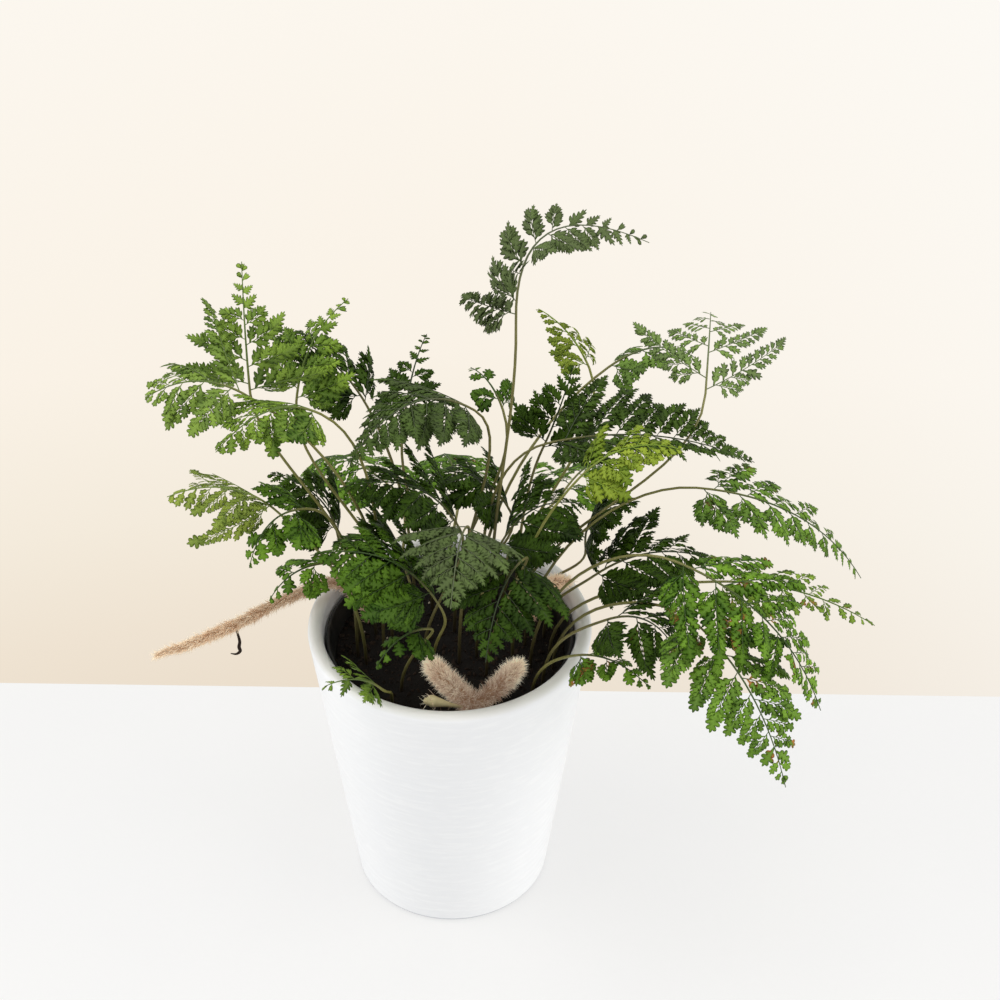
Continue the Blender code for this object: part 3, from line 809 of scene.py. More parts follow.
class LeafletShape:
    """Collects the points and faces of one leaflet; the length is 1 along +Y, the top faces +Z."""

    def __init__(self):
        self.points = []
        self.faces = []
        self.traits = []

    def outline(self, x, y):
        """A point on the outline, which both sides share."""
        self.points.append((x, y, 0.0))
        self.traits.append((0.0, 0.0, 1.0))
        return len(self.points) - 1, len(self.points) - 1

    def inner(self, x, y, puff, vein, below=True):
        """A point inside the outline: one on top and, where it is asked for, one underneath."""
        self.points.append((x, y, puff))
        self.traits.append((0.0, vein, 0.0))
        if below:
            self.points.append((x, y, -0.6 * puff))
            self.traits.append((1.0, vein, 0.0))
        return len(self.points) - 1 - below, len(self.points) - 1

    def fan(self, centre, ring, low_centre=None):
        """Triangles from a centre to a ring of points on top, and from a ring's own point underneath."""
        for a, b in zip(ring, ring[1:] + ring[:1]):
            self.faces.append((centre[0], a[0], b[0]))
            if low_centre is None:
                self.faces.append((centre[1], b[1], a[1]))
            elif low_centre not in (a, b):
                self.faces.append((low_centre[1], b[1], a[1]))

    def mesh(self, name, curl):
        """The finished mesh, its tip and its sides bent down a little."""
        bent = [Vector((x, y, z - curl * y * y - 0.45 * curl * abs(x))) for x, y, z in self.points]
        mesh = bpy.data.meshes.new(name)
        mesh.from_pydata(bent, [], self.faces)
        for number, trait in enumerate(("side", "vein", "rim")):
            values = mesh.attributes.new(trait, "FLOAT", "POINT")
            values.data.foreach_set("value", [t[number] for t in self.traits])
        mesh.shade_smooth()
        return mesh


# %% Lobes along the leaflet's rib
TEETH_END = 0.86


def leaflet_envelope(y, widest):
    """Half width of the whole leaflet, 1 at its widest: a wedge below, pointed above."""
    if y < widest:
        return (y / widest) ** 1.1
    return max(1 - ((y - widest) / (1.04 - widest)) ** (0.6 + 2.1 * widest), 0.0)


POINTED_TEETH = [(0.72, 0.27), (0.99, 0.79), (0.98, 1.21), (0.65, 1.12)]
ROUND_TEETH = [(0.80, 0.22), (1.02, 0.60), (0.96, 0.98), (0.66, 1.10)]


def leaflet_mesh(name, lobes, half_width, cut, widest, teeth, seed):
    """A leaflet with so many lobes on each side; cut 1 would reach the rib."""
    draw = Random(seed)
    leaf = LeafletShape()
    teeth_start = 0.42 * widest
    step = (TEETH_END - teeth_start) / lobes
    heights = [teeth_start + step * k for k in range(lobes + 1)]
    notches = [max(half_width * leaflet_envelope(y, widest) * (1 - cut), STALK_HALF_WIDTH) for y in heights]
    notches[0] = 2.2 * STALK_HALF_WIDTH
    ribs = [leaf.inner(0.0, y, LEAFLET_PUFF, 1.0) for y in heights]
    gates = {}
    for hand in (1, -1):
        gates[hand] = [leaf.outline(hand * x, y) for x, y in zip(notches, heights)]
        for k, low in enumerate(heights[:-1]):
            reach = half_width * draw.uniform(0.90, 1.06)
            spread = leaflet_envelope(low + step * 0.7, widest)
            edge = [leaf.outline(hand * reach * share * spread, low + step * rise) for share, rise in teeth]
            centre = leaf.inner(hand * 0.5 * reach * spread, low + step * 0.72,
                                LEAFLET_PUFF * 0.8, 0.55, below=False)
            ring = [ribs[k], gates[hand][k], *edge, gates[hand][k + 1], ribs[k + 1]]
            leaf.fan(centre, ring if hand > 0 else ring[::-1], ribs[k])
    foot = [leaf.outline(hand * STALK_HALF_WIDTH, 0.0) for hand in (-1, 1)]
    leaf.fan(ribs[0], [foot[0], foot[1], gates[1][0], gates[-1][0]])
    shoulders = {hand: leaf.outline(hand * max(0.7 * notches[-1], 0.02), 0.94) for hand in (1, -1)}
    centre = leaf.inner(0.0, 0.91, LEAFLET_PUFF * 0.8, 0.8)
    tip = leaf.outline(0.0, 1.0)
    leaf.fan(centre, [ribs[-1], gates[1][-1], shoulders[1], tip, shoulders[-1], gates[-1][-1]])
    return leaf.mesh(name, LEAFLET_CURL)


# %% [markdown]
# A kit of 21 leaflets is enough variety: seven kinds of cut, three random draws of each. The
# frond's tree picks one by its number. The smallest kind is a plain drop, because it is seen only
# a few pixels long. The spray is the pointed, many-toothed end of a branch, where the leaflets
# have grown together. The round and lobed kinds are for young fronds, whose lobes are blunt.

DROP, WEDGE, FAN, FEATHER, SPRAY, ROUND, LOBED = 0, 3, 6, 9, 12, 15, 18
LEAFLET_CUTS = [
    ("wedge", 1, 0.30, 0.40, 0.54, POINTED_TEETH), ("fan", 2, 0.30, 0.55, 0.54, POINTED_TEETH),
    ("feather", 3, 0.30, 0.64, 0.50, POINTED_TEETH), ("spray", 4, 0.30, 0.58, 0.26, POINTED_TEETH),
    ("round", 2, 0.31, 0.50, 0.70, ROUND_TEETH), ("lobed", 3, 0.29, 0.60, 0.52, ROUND_TEETH),
]


def drop_mesh(number):
    """A plain obovate leaflet with a centre on either side."""
    draw = Random(500 + number)
    leaf = LeafletShape()
    wide = draw.uniform(0.24, 0.30)
    centre = leaf.inner(0.0, 0.62, LEAFLET_PUFF * 1.5, 1.0)
    right = [leaf.outline(wide * share, y) for share, y in ((0.62, 0.36), (1.0, 0.70), (0.5, 0.96))]
    left = [leaf.outline(-wide * share, y) for share, y in ((0.5, 0.96), (1.0, 0.66), (0.62, 0.34))]
    leaf.fan(centre, [leaf.outline(0.0, 0.0), *right, *left])
    return leaf.mesh(f"drop_{number}", LEAFLET_CURL)


def leaflet_kit():
    """Three draws of each cut, in the order that the numbers above count from."""
    meshes = [drop_mesh(number) for number in range(3)]
    for label, lobes, *shape in LEAFLET_CUTS:
        for number in range(3):
            meshes.append(leaflet_mesh(f"{label}_{number}", lobes, *shape, 31 * lobes + number))
    return kit_of("leaflets", meshes)


LEAFLETS = leaflet_kit()

# %% [markdown]
# ## The tree that dresses a frond
#
# A frond comes to the tree as a light skeleton. Its edges are the stem, the midrib and the ribs of
# the branches, each point with its own thickness.
#
# The tree sweeps a round section along the edges, puts a leaflet on every loose point, gives both
# their finish and joins them.

# %% Dress a frond
def frond_tree():
    """Sweep the ribs and place the leaflets of one frond."""
    bench, wires = make_tree("Dress a frond", {
        "Leaflets": "collection", "Leaf finish": "material", "Rib finish": "material",
        "Rib sides": "int", "Leaflet scale": "float",
    })
    parts = bench.put("GeometryNodeSeparateGeometry", {"domain": "POINT"}, {
        "Geometry": wires["Geometry"], "Selection": named(bench, "is_leaflet", "BOOLEAN"),
    })
    ribs = smoothed(bench, swept(bench, parts["Inverted"], wires["Rib sides"]))
    turn = bench.put("FunctionNodeAxesToRotation", {"primary_axis": "Y", "secondary_axis": "Z"}, {
        "Primary Axis": named(bench, "out", "FLOAT_VECTOR"),
        "Secondary Axis": named(bench, "face", "FLOAT_VECTOR"),
    })
    size = scaled(bench, named(bench, "size", "FLOAT_VECTOR"), wires["Leaflet scale"])
    leaves = copies_of(bench, wires["Leaflets"], parts["Selection"], named(bench, "kind", "INT"),
                       turn["Rotation"], size)
    return finish_tree(bench, painted(bench, ribs, wires["Rib finish"]),
                       painted(bench, leaves, wires["Leaf finish"]))


FROND_TREE = frond_tree()
print("Nodes in the frond's tree:", len(FROND_TREE.nodes))

# %% [markdown]
# ## Where the fronds go
#
# These are the same driving values as the CAD model's, in millimetres: where the stem leaves the
# soil, the foot and the tip of the blade, the length of the lowest branches, the turn about the
# midrib, the rise of the midrib above the straight line, the lift of the branches and the number
# of branch pairs that the solid has. The last two are the colour and how aged the frond is: older
# ones carry rusty spots.

# %% The fronds
FRONDS = {
    "front_right": ((46, -14), (102, -58, 197), (136, -120, 156), 40, 0, 14, 0, 7, "leaf_mid", 0.5),
    "front_dark": ((16, -18), (32, -28, 208), (14, -74, 186), 42, 0, 16, -8, 6, "leaf_dark", 0.0),
    "front_grey": ((4, -8), (8, -18, 218), (0, -70, 212), 34, 0, 12, -5, 6, "leaf_dark", 0.0),
    "right_middle": ((36, -12), (95, -40, 215), (155, -85, 165), 44, 0, 16, 0, 7, "leaf_mid", 0.6),
    "front_left": ((-8, -14), (-5, -35, 190), (-62, -30, 212), 46, 0, 14, -8, 6, "leaf_mid", 0.0),
    "tall": ((18, 12), (29, 15, 299), (88, 12, 335), 38, 0, 30, 60, 6, "leaf_dark", 0.0),
    "left_bright": ((-26, 2), (-84, -2, 277), (-125, -10, 279), 40, 0, 8, 5, 6, "leaf_light", 0.0),
    "centre_right": ((14, 18), (45, 25, 230), (140, 25, 215), 44, 0, 10, 22, 7, "leaf_dark", 0.0),
    "dome_left": ((2, 14), (12, 26, 247), (-45, -16, 243), 42, 0, 20, -12, 6, "leaf_dark", 0.0),
    "lime_right": ((28, -8), (55, -12, 238), (102, -8, 248), 28, 0, 10, 0, 5, "leaf_lime", 0.0),
    "right_comb": ((34, 2), (108, 8, 217), (185, -6, 171), 30, 0, 14, 0, 6, "leaf_mid", 0.3),
    "right_lacy": ((45, -4), (115, -20, 187), (186, -40, 175), 24, 0, 8, 0, 5, "leaf_light", 0.5),
    "left_lacy": ((-38, -8), (-72, -12, 222), (-120, -20, 236), 34, 0, 10, -20, 5, "leaf_lime", 0.0),
    "left_tall": ((-34, 12), (-84, 25, 258), (-85, 44, 316), 32, 0, 9, 0, 5, "leaf_light", 0.0),
    "left_high": ((-22, 16), (-65, 30, 250), (-40, 60, 285), 28, 0, 10, 0, 5, "leaf_light", 0.0),
    "left_low": ((-30, -4), (-52, -5, 268), (-95, -38, 270), 36, 0, 12, -8, 5, "leaf_light", 0.0),
    "left_back": ((-16, 24), (-35, 40, 240), (-85, 60, 270), 26, 0, 10, 0, 5, "leaf_dark", 0.0),
    "back_spire": ((-8, 28), (-20, 50, 220), (-8, 95, 243), 22, 0, 8, 5, 5, "leaf_dark", 0.0),
    "right_top": ((27, 10), (114, 42, 243), (121, 92, 254), 44, 0, 9, -4, 6, "leaf_mid", 0.0),
    "back_right": ((14, 34), (75, 90, 225), (120, 100, 220), 26, 0, 10, 0, 5, "leaf_mid", 0.0),
    "lime_back": ((24, 24), (65, 75, 235), (40, 80, 265), 20, 60, 4, 0, 5, "leaf_lime", 0.0),
    "small_back": ((2, 34), (25, 50, 230), (10, 70, 240), 18, 0, 5, 0, 4, "leaf_mid", 0.0),
    "right_dark": ((43, 8), (64, -4, 178), (120, -4, 184), 40, 0, 10, 0, 5, "leaf_dark", 0.0),
    "right_low": ((41, -25), (66, -42, 185), (97, -60, 177), 40, 0, 12, -8, 5, "leaf_dark", 0.3),
    "centre_left": ((-12, -4), (5, 5, 198), (-50, -2, 226), 44, 0, 14, -8, 6, "leaf_dark", 0.0),
    "left_dark": ((-18, 4), (-18, -12, 186), (-52, -16, 208), 30, 0, 10, -5, 5, "leaf_dark", 0.0),
    "centre_back": ((6, 24), (28, 30, 188), (-12, 40, 200), 36, 0, 12, -8, 5, "leaf_dark", 0.0),
    "centre": ((12, -4), (22, 2, 190), (62, 14, 203), 42, 0, 12, -8, 5, "leaf_dark", 0.0),
    "left_droop": ((-42, -2), (-60, -12, 224), (-84, -38, 210), 26, 0, 12, -15, 5, "leaf_mid", 0.0),
    "rim_left": ((-42, 8), (-55, 5, 180), (-80, -10, 170), 16, 0, 6, -10, 4, "leaf_mid", 0.0),
    "rim_right": ((36, -32), (55, -45, 168), (85, -68, 168), 18, 0, 6, -10, 4, "leaf_mid", 0.6),
    "rim_front": ((-26, -36), (-30, -50, 155), (-55, -60, 165), 18, 0, 5, -5, 4, "leaf_light", 0.0),
    "inner_left": ((-22, -26), (-10, -40, 180), (-32, -60, 175), 26, 0, 6, -10, 4, "leaf_mid", 0.0),
    "back_left": ((-24, 34), (-25, 70, 170), (-75, 130, 130), 32, 0, 16, -10, 4, "leaf_mid", 0.0),
    "back_middle": ((-2, 44), (5, 85, 162), (-5, 145, 114), 32, 0, 16, -8, 4, "leaf_mid", 0.2),
    "back_low_right": ((22, 38), (55, 80, 160), (85, 140, 110), 32, 0, 16, -10, 4, "leaf_mid", 0.0),
    "left_inner": ((-26, 24), (-50, 26, 178), (-82, 35, 208), 28, 0, 10, -5, 4, "leaf_dark", 0.0),
    "right_inner": ((38, 29), (62, 22, 172), (86, 16, 203), 28, 0, 10, -5, 4, "leaf_dark", 0.0),
    "centre_top": ((31, 32), (43, 50, 208), (57, 58, 250), 28, 60, 4, 0, 5, "leaf_dark", 0.0),
}
print("Fronds:", len(FRONDS))

# %% [markdown]
# ## The lines of a frond
#
# A frond leaves the soil upright, and its stem runs in one smooth curve into the midrib, which
# bows up between its foot and its tip. Branches stand off at 60 degrees, shorten evenly toward
# the tip, and sweep a little forward and down as they go out.
#
# In the CAD model each branch was raised or lowered until it was clear of its neighbours. The
# finer branches here have to follow, so we look up what was chosen: for every angle that the rule
# could have picked we work out where the branch's tip would be, and keep the angle whose tip is
# nearest to a corner of the solid.

# %% Lines and directions
HOLE_DEPTH = 8.0
BRANCH_ANGLE = 60.0
BRANCH_SWEEP = 0.10
BRANCH_DROOP = 0.14
LIFT_TRIES = (0, 9, -9, 18, -18, 27, -27, 38, -38, 50, -50)
LENGTH_TRIES = (1.0, 0.75, 0.5)
FIRST_BRANCH = 0.03
BRANCHED_SHARE = 0.9
TAPER = 0.4
# A frond that turns as it grows: how many degrees the branches of its first side sink toward the
# tip, and how long those of its second side are against them.
TWISTED = {"tall": (80, 0.62)}


class FrondLines:
    """The curves of one frond, in millimetres."""

    def __init__(self, name, values):
        self.name = name
        self.sink, self.far_share = TWISTED.get(name, (0, 1.0))
        root, base, tip, self.spread, turn, bow, self.lift, self.pairs, self.colour, self.age = values
        self.root = Vector((*root, SOIL_TOP))
        self.base = Vector(base)
        self.chord = Vector(tip) - self.base
        along = self.chord.normalized()
        self.side = along.cross(UP).normalized()
        self.side.rotate(Quaternion(along, radians(turn)))
        self.rise = self.side.cross(along) * 4 * bow
        self.read_branches()

    def midrib(self, t):
        """Point on the midrib, from 0 at the foot of the blade to 1 at its tip."""
        return self.base + self.chord * t + self.rise * t * (1 - t)

    def heading(self, t):
        """Direction of the midrib."""
        return (self.chord + self.rise * (1 - 2 * t)).normalized()

    def stem(self, u):
        """Point on the stem, from 0 at the soil to 1 at the foot of the blade."""
        reach = (self.base - self.root).length
        a, b = self.root, self.root + UP * 0.45 * reach
        c, d = self.base - self.heading(0) * 0.3 * reach, self.base
        v = 1 - u
        return a * v ** 3 + b * 3 * u * v * v + c * 3 * u * u * v + d * u ** 3

    def directions(self, t, hand, lift):
        """Directions of a branch: outward, forward and its normal."""
        along = self.heading(t)
        upward = self.side.cross(along).normalized()
        sideways = self.side * hand
        tilted = sideways * cos(radians(lift)) + upward * sin(radians(lift))
        normal = upward * cos(radians(lift)) - sideways * sin(radians(lift))
        angle = radians(BRANCH_ANGLE)
        return along * cos(angle) + tilted * sin(angle), along * sin(angle) - tilted * cos(angle), normal

    def read_branches(self):
        """Find the lift and the length share of every branch of the CAD solid."""
        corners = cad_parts["frond_" + self.name].data.vertices
        tree = KDTree(len(corners))
        for number, corner in enumerate(corners):
            tree.insert(corner.co / MM, number)
        tree.balance()
        self.places = [FIRST_BRANCH + BRANCHED_SHARE * i / self.pairs for i in range(self.pairs)]
        self.found = {hand: [self.nearest_try(tree, i, hand) for i in range(self.pairs)] for hand in (1, -1)}

    def nearest_try(self, tree, i, hand):
        """The lift and share whose branch tip lies nearest to a corner of the solid."""
        t = self.places[i]
        full = self.spread * (1 - i / (self.pairs + TAPER)) * (self.far_share if hand < 0 else 1.0)
        best = None
        for share in LENGTH_TRIES:
            for change in LIFT_TRIES:
                out, forward, normal = self.directions(t, hand, self.plain_lift(t, hand) + change)
                length = full * share
                start = self.midrib(t) + self.side * hand * 0.6
                tip = start + (out + forward * BRANCH_SWEEP - normal * BRANCH_DROOP) * length
                gap = tree.find(tip)[2]
                if best is None or gap < best[0]:
                    best = (gap, change, share)
        return best[1:] if best[0] < 2.0 else (0, LENGTH_TRIES[-1])

    def plain_lift(self, t, hand):
        """Lift by the rule alone: on a twisted frond the first side sinks toward the tip."""
        return self.lift - (self.sink * min(2 * t, 1.0) if hand > 0 else 0.0)

    def branch(self, t, hand):
        """Lift and length of a branch anywhere on the blade."""
        lifts, shares = zip(*self.found[hand])
        lift = self.plain_lift(t, hand) + float(np.interp(t, self.places, lifts))
        share = float(np.interp(t, self.places, shares)) * (self.far_share if hand < 0 else 1.0)
        passed = max(t - FIRST_BRANCH, 0.0) / BRANCHED_SHARE
        length = self.spread * (1 - passed * self.pairs / (self.pairs + TAPER))
        return lift, max(length, 0.05 * self.spread) * share


LINES = {name: FrondLines(name, values) for name, values in FRONDS.items()}
print("Branches of the tall frond:", LINES["tall"].found[1])

# %% [markdown]
# ## From lines to a skeleton
#
# The blade of this fern is cut three times over: branches on the midrib, leaflets on the branches,
# lobes on the leaflets. The solid has only the branches that carry its form. Here there are twice
# as many, closer together toward the tip, and the last ones are single leaflets that sit straight
# on the midrib.
#
# Young fronds are open and show their ribs. Old ones are dense: their leaflets nearly touch at
# the outer ends, so only narrow slits of light stay along each rib.
#
# Each frond also has a character: how full its blade is, how much painted shade (below zero) or
# painted sheen (above zero) its colour carries, how unruly its branches are, how much of their
# length the upper ones keep, how far the leaflets reach past the ribs of the solid, where the
# blade ends, and whether a young frond has pointed leaflets too.

# %% How dense each kind of frond is
class Habit:
    """Spacing and proportions of a kind of frond, in millimetres."""

    def __init__(self, first_gap, branch_share, leaflet_pitch, plump, crowding, pointed):
        self.first_gap = first_gap
        self.branch_share = branch_share
        self.leaflet_pitch = leaflet_pitch
        self.plump = plump
        self.crowding = crowding
        self.pointed = pointed

    def filled(self, full):
        """The same habit with wider leaflets, closer together."""
        closer = 1 - 0.12 * full
        return Habit(self.first_gap * closer, self.branch_share, self.leaflet_pitch * closer,
                     self.plump * (1 + 0.18 * full), self.crowding, self.pointed)


HABITS = {
    "leaf_dark": Habit(12.5, 0.66, 0.38, 0.96, 0.72, True),
    "leaf_mid": Habit(14.2, 0.63, 0.43, 1.06, 0.70, False),
    "leaf_light": Habit(12.8, 0.58, 0.50, 1.04, 0.66, False),
    "leaf_lime": Habit(10.5, 0.60, 0.46, 1.04, 0.66, False),
}


class Character:
    """What sets one frond apart from others of its kind."""

    def __init__(self, full=0.3, pale=0.0, wild=0.15, upper=1.0, stretch=1.0, end=0.95, pointed=False):
        self.full = full
        self.pale = pale
        self.wild = wild
        self.upper = upper
        self.stretch = stretch
        self.end = end
        self.pointed = pointed


# pale, the second value, paints a grey-green sheen into the frond's colour above zero and shade below zero.
CHARACTERS = {
    "front_dark": Character(1.1, -0.30, 0.10),
    "front_grey": Character(1.3, 0.34, 0.10, 1.0, 1.14),
    "front_left": Character(1.2, -0.42, 0.15),
    "inner_left": Character(1.2, -0.45, 0.30, 0.9, 0.70),
    "lime_right": Character(1.0, -0.15, 0.35),
    "dome_left": Character(1.1, 0.18, 0.20),
    "tall": Character(0.4, 0.42, 0.10, 1.0, 1.05),
    "centre_right": Character(0.4, 0.05, 0.15),
    "right_low": Character(0.6, -0.10, 0.40, 1.0, 1.10),
    "centre": Character(1.2, -0.15, 0.30, 1.0, 1.15),
    "centre_left": Character(1.1, -0.15, 0.30, 1.0, 1.14),
    "left_dark": Character(1.2, -0.15, 0.40, 1.0, 1.25),
    "centre_back": Character(1.1, -0.15, 0.30, 1.0, 1.10),
    "right_inner": Character(1.1, -0.10, 0.30, 1.0, 1.30),
    "left_inner": Character(1.0, -0.10, 0.30, 1.0, 1.20),
    "left_low": Character(0.9, -0.05, 0.60, 1.0, 1.14),
    "left_bright": Character(0.6, 0.14, 0.60, 1.0, 1.14),
    "left_tall": Character(0.5, 0.10, 0.75, 0.62, 1.15, pointed=True),
    "left_high": Character(0.5, 0.0, 0.45, 0.75, 1.12, pointed=True),
    "left_lacy": Character(-0.4, 0.25, 0.75, 1.0, 1.18),
    "left_droop": Character(0.5, -0.20, 0.60, 1.0, 1.10),
    "left_back": Character(0.6, -0.05, 0.40, 1.0, 1.15),
    "right_middle": Character(0.0, 0.0, 0.30, 1.0, 1.05),
    "right_dark": Character(0.7, -0.05, 0.35, 1.0, 1.10),
    "right_top": Character(-1.2, 0.50, 0.35, 1.0, 1.10, pointed=True),
    "right_comb": Character(0.0, 0.10, 0.20, 1.0, 1.08, pointed=True),
    "right_lacy": Character(-0.6, 0.0, 0.50, 1.0, 1.15),
    "front_right": Character(0.0, 0.08, 0.25, 1.0, 1.06),
    "rim_front": Character(-0.6, 0.05, 0.50, 1.0, 1.35, pointed=True),
    "rim_left": Character(0.6, -0.05, 0.50, 1.0, 1.30),
    "rim_right": Character(0.4, 0.0, 0.40, 1.0, 1.15),
    "back_spire": Character(0.4, 0.0, 0.30, 0.8),
    "back_middle": Character(0.4, 0.0, 0.0, end=0.86),
    "small_back": Character(0.5, -0.55, 0.3),
    "back_right": Character(0.2, 0.25, 0.4),
}
PLAIN = Character()
SHORTEST_BRANCH = 10.5
SHORTEST_LEAFLET = 3.0
COMPOUND_LEAFLET = 12.0
LEAFLET_LEAN = 40.0
END_SHARE = 0.40
LONGEST_END = 9.5
RIB_STEP = 4.5
SMALLEST_GAP = 2.3
TIP_SHARE = 0.065
STEM_RADIUS = 0.78


class Skeleton:
    """Edges and loose points of a frond, with what the tree needs to know about each."""

    def __init__(self, habit, draw):
        self.habit = habit
        self.draw = draw
        self.points = []
        self.edges = []
        self.thick = []
        self.green = []
        self.leaflets = []
        self.youth = 0.0

    def path(self, points, radii, greens):
        """Add a rib as a chain of edges."""
        start = len(self.points)
        self.points += points
        self.thick += radii
        self.green += greens
        self.edges += [(start + i, start + i + 1) for i in range(len(points) - 1)]

    def leaflet(self, place, out, face, size, kind, tint):
        """Add the foot of a leaflet."""
        self.leaflets.append((place, out.normalized(), face.normalized(), size, kind, tint))

    def mesh(self, name):
        """The skeleton as a mesh with attributes."""
        mesh = bpy.data.meshes.new(name)
        places, outs, faces, sizes, kinds, tints = zip(*self.leaflets)
        mesh.from_pydata([p * MM for p in self.points + list(places)], self.edges, [])
        ribs = len(self.points)
        blank = [(0.0, 0.0, 0.0)] * ribs
        columns = {
            "thick": ("FLOAT", [v * MM for v in self.thick] + [0.0] * len(self.leaflets)),
            "green": ("FLOAT", self.green + [1.0] * len(self.leaflets)),
            "is_leaflet": ("BOOLEAN", [False] * ribs + [True] * len(self.leaflets)),
            "out": ("FLOAT_VECTOR", blank + [tuple(out) for out in outs]),
            "face": ("FLOAT_VECTOR", blank + [tuple(face) for face in faces]),
            "size": ("FLOAT_VECTOR", blank + [tuple(v * MM for v in size) for size in sizes]),
            "kind": ("INT", [0] * ribs + list(kinds)),
            "tint": ("FLOAT", [0.5] * ribs + list(tints)),
        }
        for label, (kind, values) in columns.items():
            field = "vector" if kind == "FLOAT_VECTOR" else "value"
            attribute = mesh.attributes.new(label, kind, "POINT")
            attribute.data.foreach_set(field, np.array(values).ravel())
        return mesh


# %% [markdown]
# A leaflet's length decides how it is cut: the longest are feathers, the middle ones fans and the
# short ones wedges. A little random turn and tilt keeps them from looking stamped.

# %% Leaflets on a branch
def leaflet_kind(length, pointed, ends):
    """Which cut a leaflet has: by its length, its place and whether its frond is old and pointed."""
    if length < 3.5:
        return DROP
    if not pointed:
        return ROUND if length < 6.5 else LOBED
    if ends and length > 4.6:
        return SPRAY
    return WEDGE if length < 5.2 else FAN if length < 7.6 else FEATHER


def put_leaflet(skeleton, place, out, face, length, plump, ends=False):
    """Put one leaflet at a place, with a little disorder."""
    draw = skeleton.draw
    kind = leaflet_kind(length, skeleton.habit.pointed, ends)
    tilt = Quaternion(out.normalized(), radians(draw.gauss(0, 8)))
    face = tilt @ face
    out = Quaternion(face.normalized(), radians(draw.gauss(0, 5))) @ out
    out = (out - face.normalized() * draw.gauss(0.05, 0.07)).normalized()
    width = length * plump * draw.uniform(0.92, 1.08)
    tint = 0.72 * draw.random() + 0.28 * skeleton.youth
    skeleton.leaflet(place, out, face, (width, length, length), kind + draw.randrange(3), tint)


def branch_point(start, ways, length, x, y=0.0):
    """A point on a branch that sweeps forward and droops."""
    out, forward, normal, sweep, droop = ways
    return start + out * x + forward * (y + sweep * x * x / length) - normal * droop * x * x / length


def add_branch(skeleton, start, ways, length, half_width, lower_boost=0.0):
    """One branch: its rib, leaflets on both sides and a leaflet on its end."""
    habit = skeleton.habit
    out, forward, normal, sweep, droop = ways
    end_length = min(END_SHARE * length, LONGEST_END)
    end_start = length - end_length
    cuts = max(3, int(length / RIB_STEP))
    xs = [(length - 0.6 * end_length) * i / cuts for i in range(cuts + 1)]
    thin = 0.14 + 0.12 * min(length / 40, 1.0)
    skeleton.path([branch_point(start, ways, length, x) for x in xs],
                  [thin * (1 - 0.55 * x / length) for x in xs], [1.0] * len(xs))
    for hand in (1, -1):
        x = length * 0.07 + (0.4 if hand > 0 else 1.5)
        while x < end_start + 0.12 * end_length:
            share = x / length
            profile = (1 - share) ** 0.76 * (0.92 + 0.42 * share)
            reach = half_width * profile
            if hand < 0:
                reach *= 1 + lower_boost * (1 - share) ** 2
            size = max(reach / sin(radians(LEAFLET_LEAN)), SHORTEST_LEAFLET)
            slope = out + forward * 2 * sweep * share - normal * 2 * droop * share
            slope.normalize()
            across = normal.cross(slope).normalized()
            if across.dot(forward) < 0:
                across = -across
            lean = radians(LEAFLET_LEAN - 8 * share)
            way = slope * cos(lean) + across * hand * sin(lean) - normal * 0.10
            place = branch_point(start, ways, length, x)
            if size > COMPOUND_LEAFLET:
                small_ways = way.normalized(), across * -hand, normal, BRANCH_SWEEP, BRANCH_DROOP
                add_branch(skeleton, place, small_ways, size, 0.30 * size)
            else:
                put_leaflet(skeleton, place, way, normal, size, habit.plump)
            x += size * habit.leaflet_pitch
    end = branch_point(start, ways, length, end_start)
    tail = out + forward * 2 * sweep - normal * 2 * droop
    put_leaflet(skeleton, end, tail, normal, end_length, 1.15 * habit.plump, True)


# %% [markdown]
# The gaps between branches shrink toward the tip by a power law, as the branches do. The two
# branches of a pair are not quite opposite, as on the real frond.

# %% The whole frond
def blade_places(lines, habit, end):
    """Where the pairs of branches sit on the midrib, from its foot to nearly its end."""
    places, t = [], FIRST_BRANCH
    while t < end - 0.04:
        places.append(t)
        t += max(habit.first_gap * (1 - t) ** habit.crowding, SMALLEST_GAP) / lines.chord.length
    return places


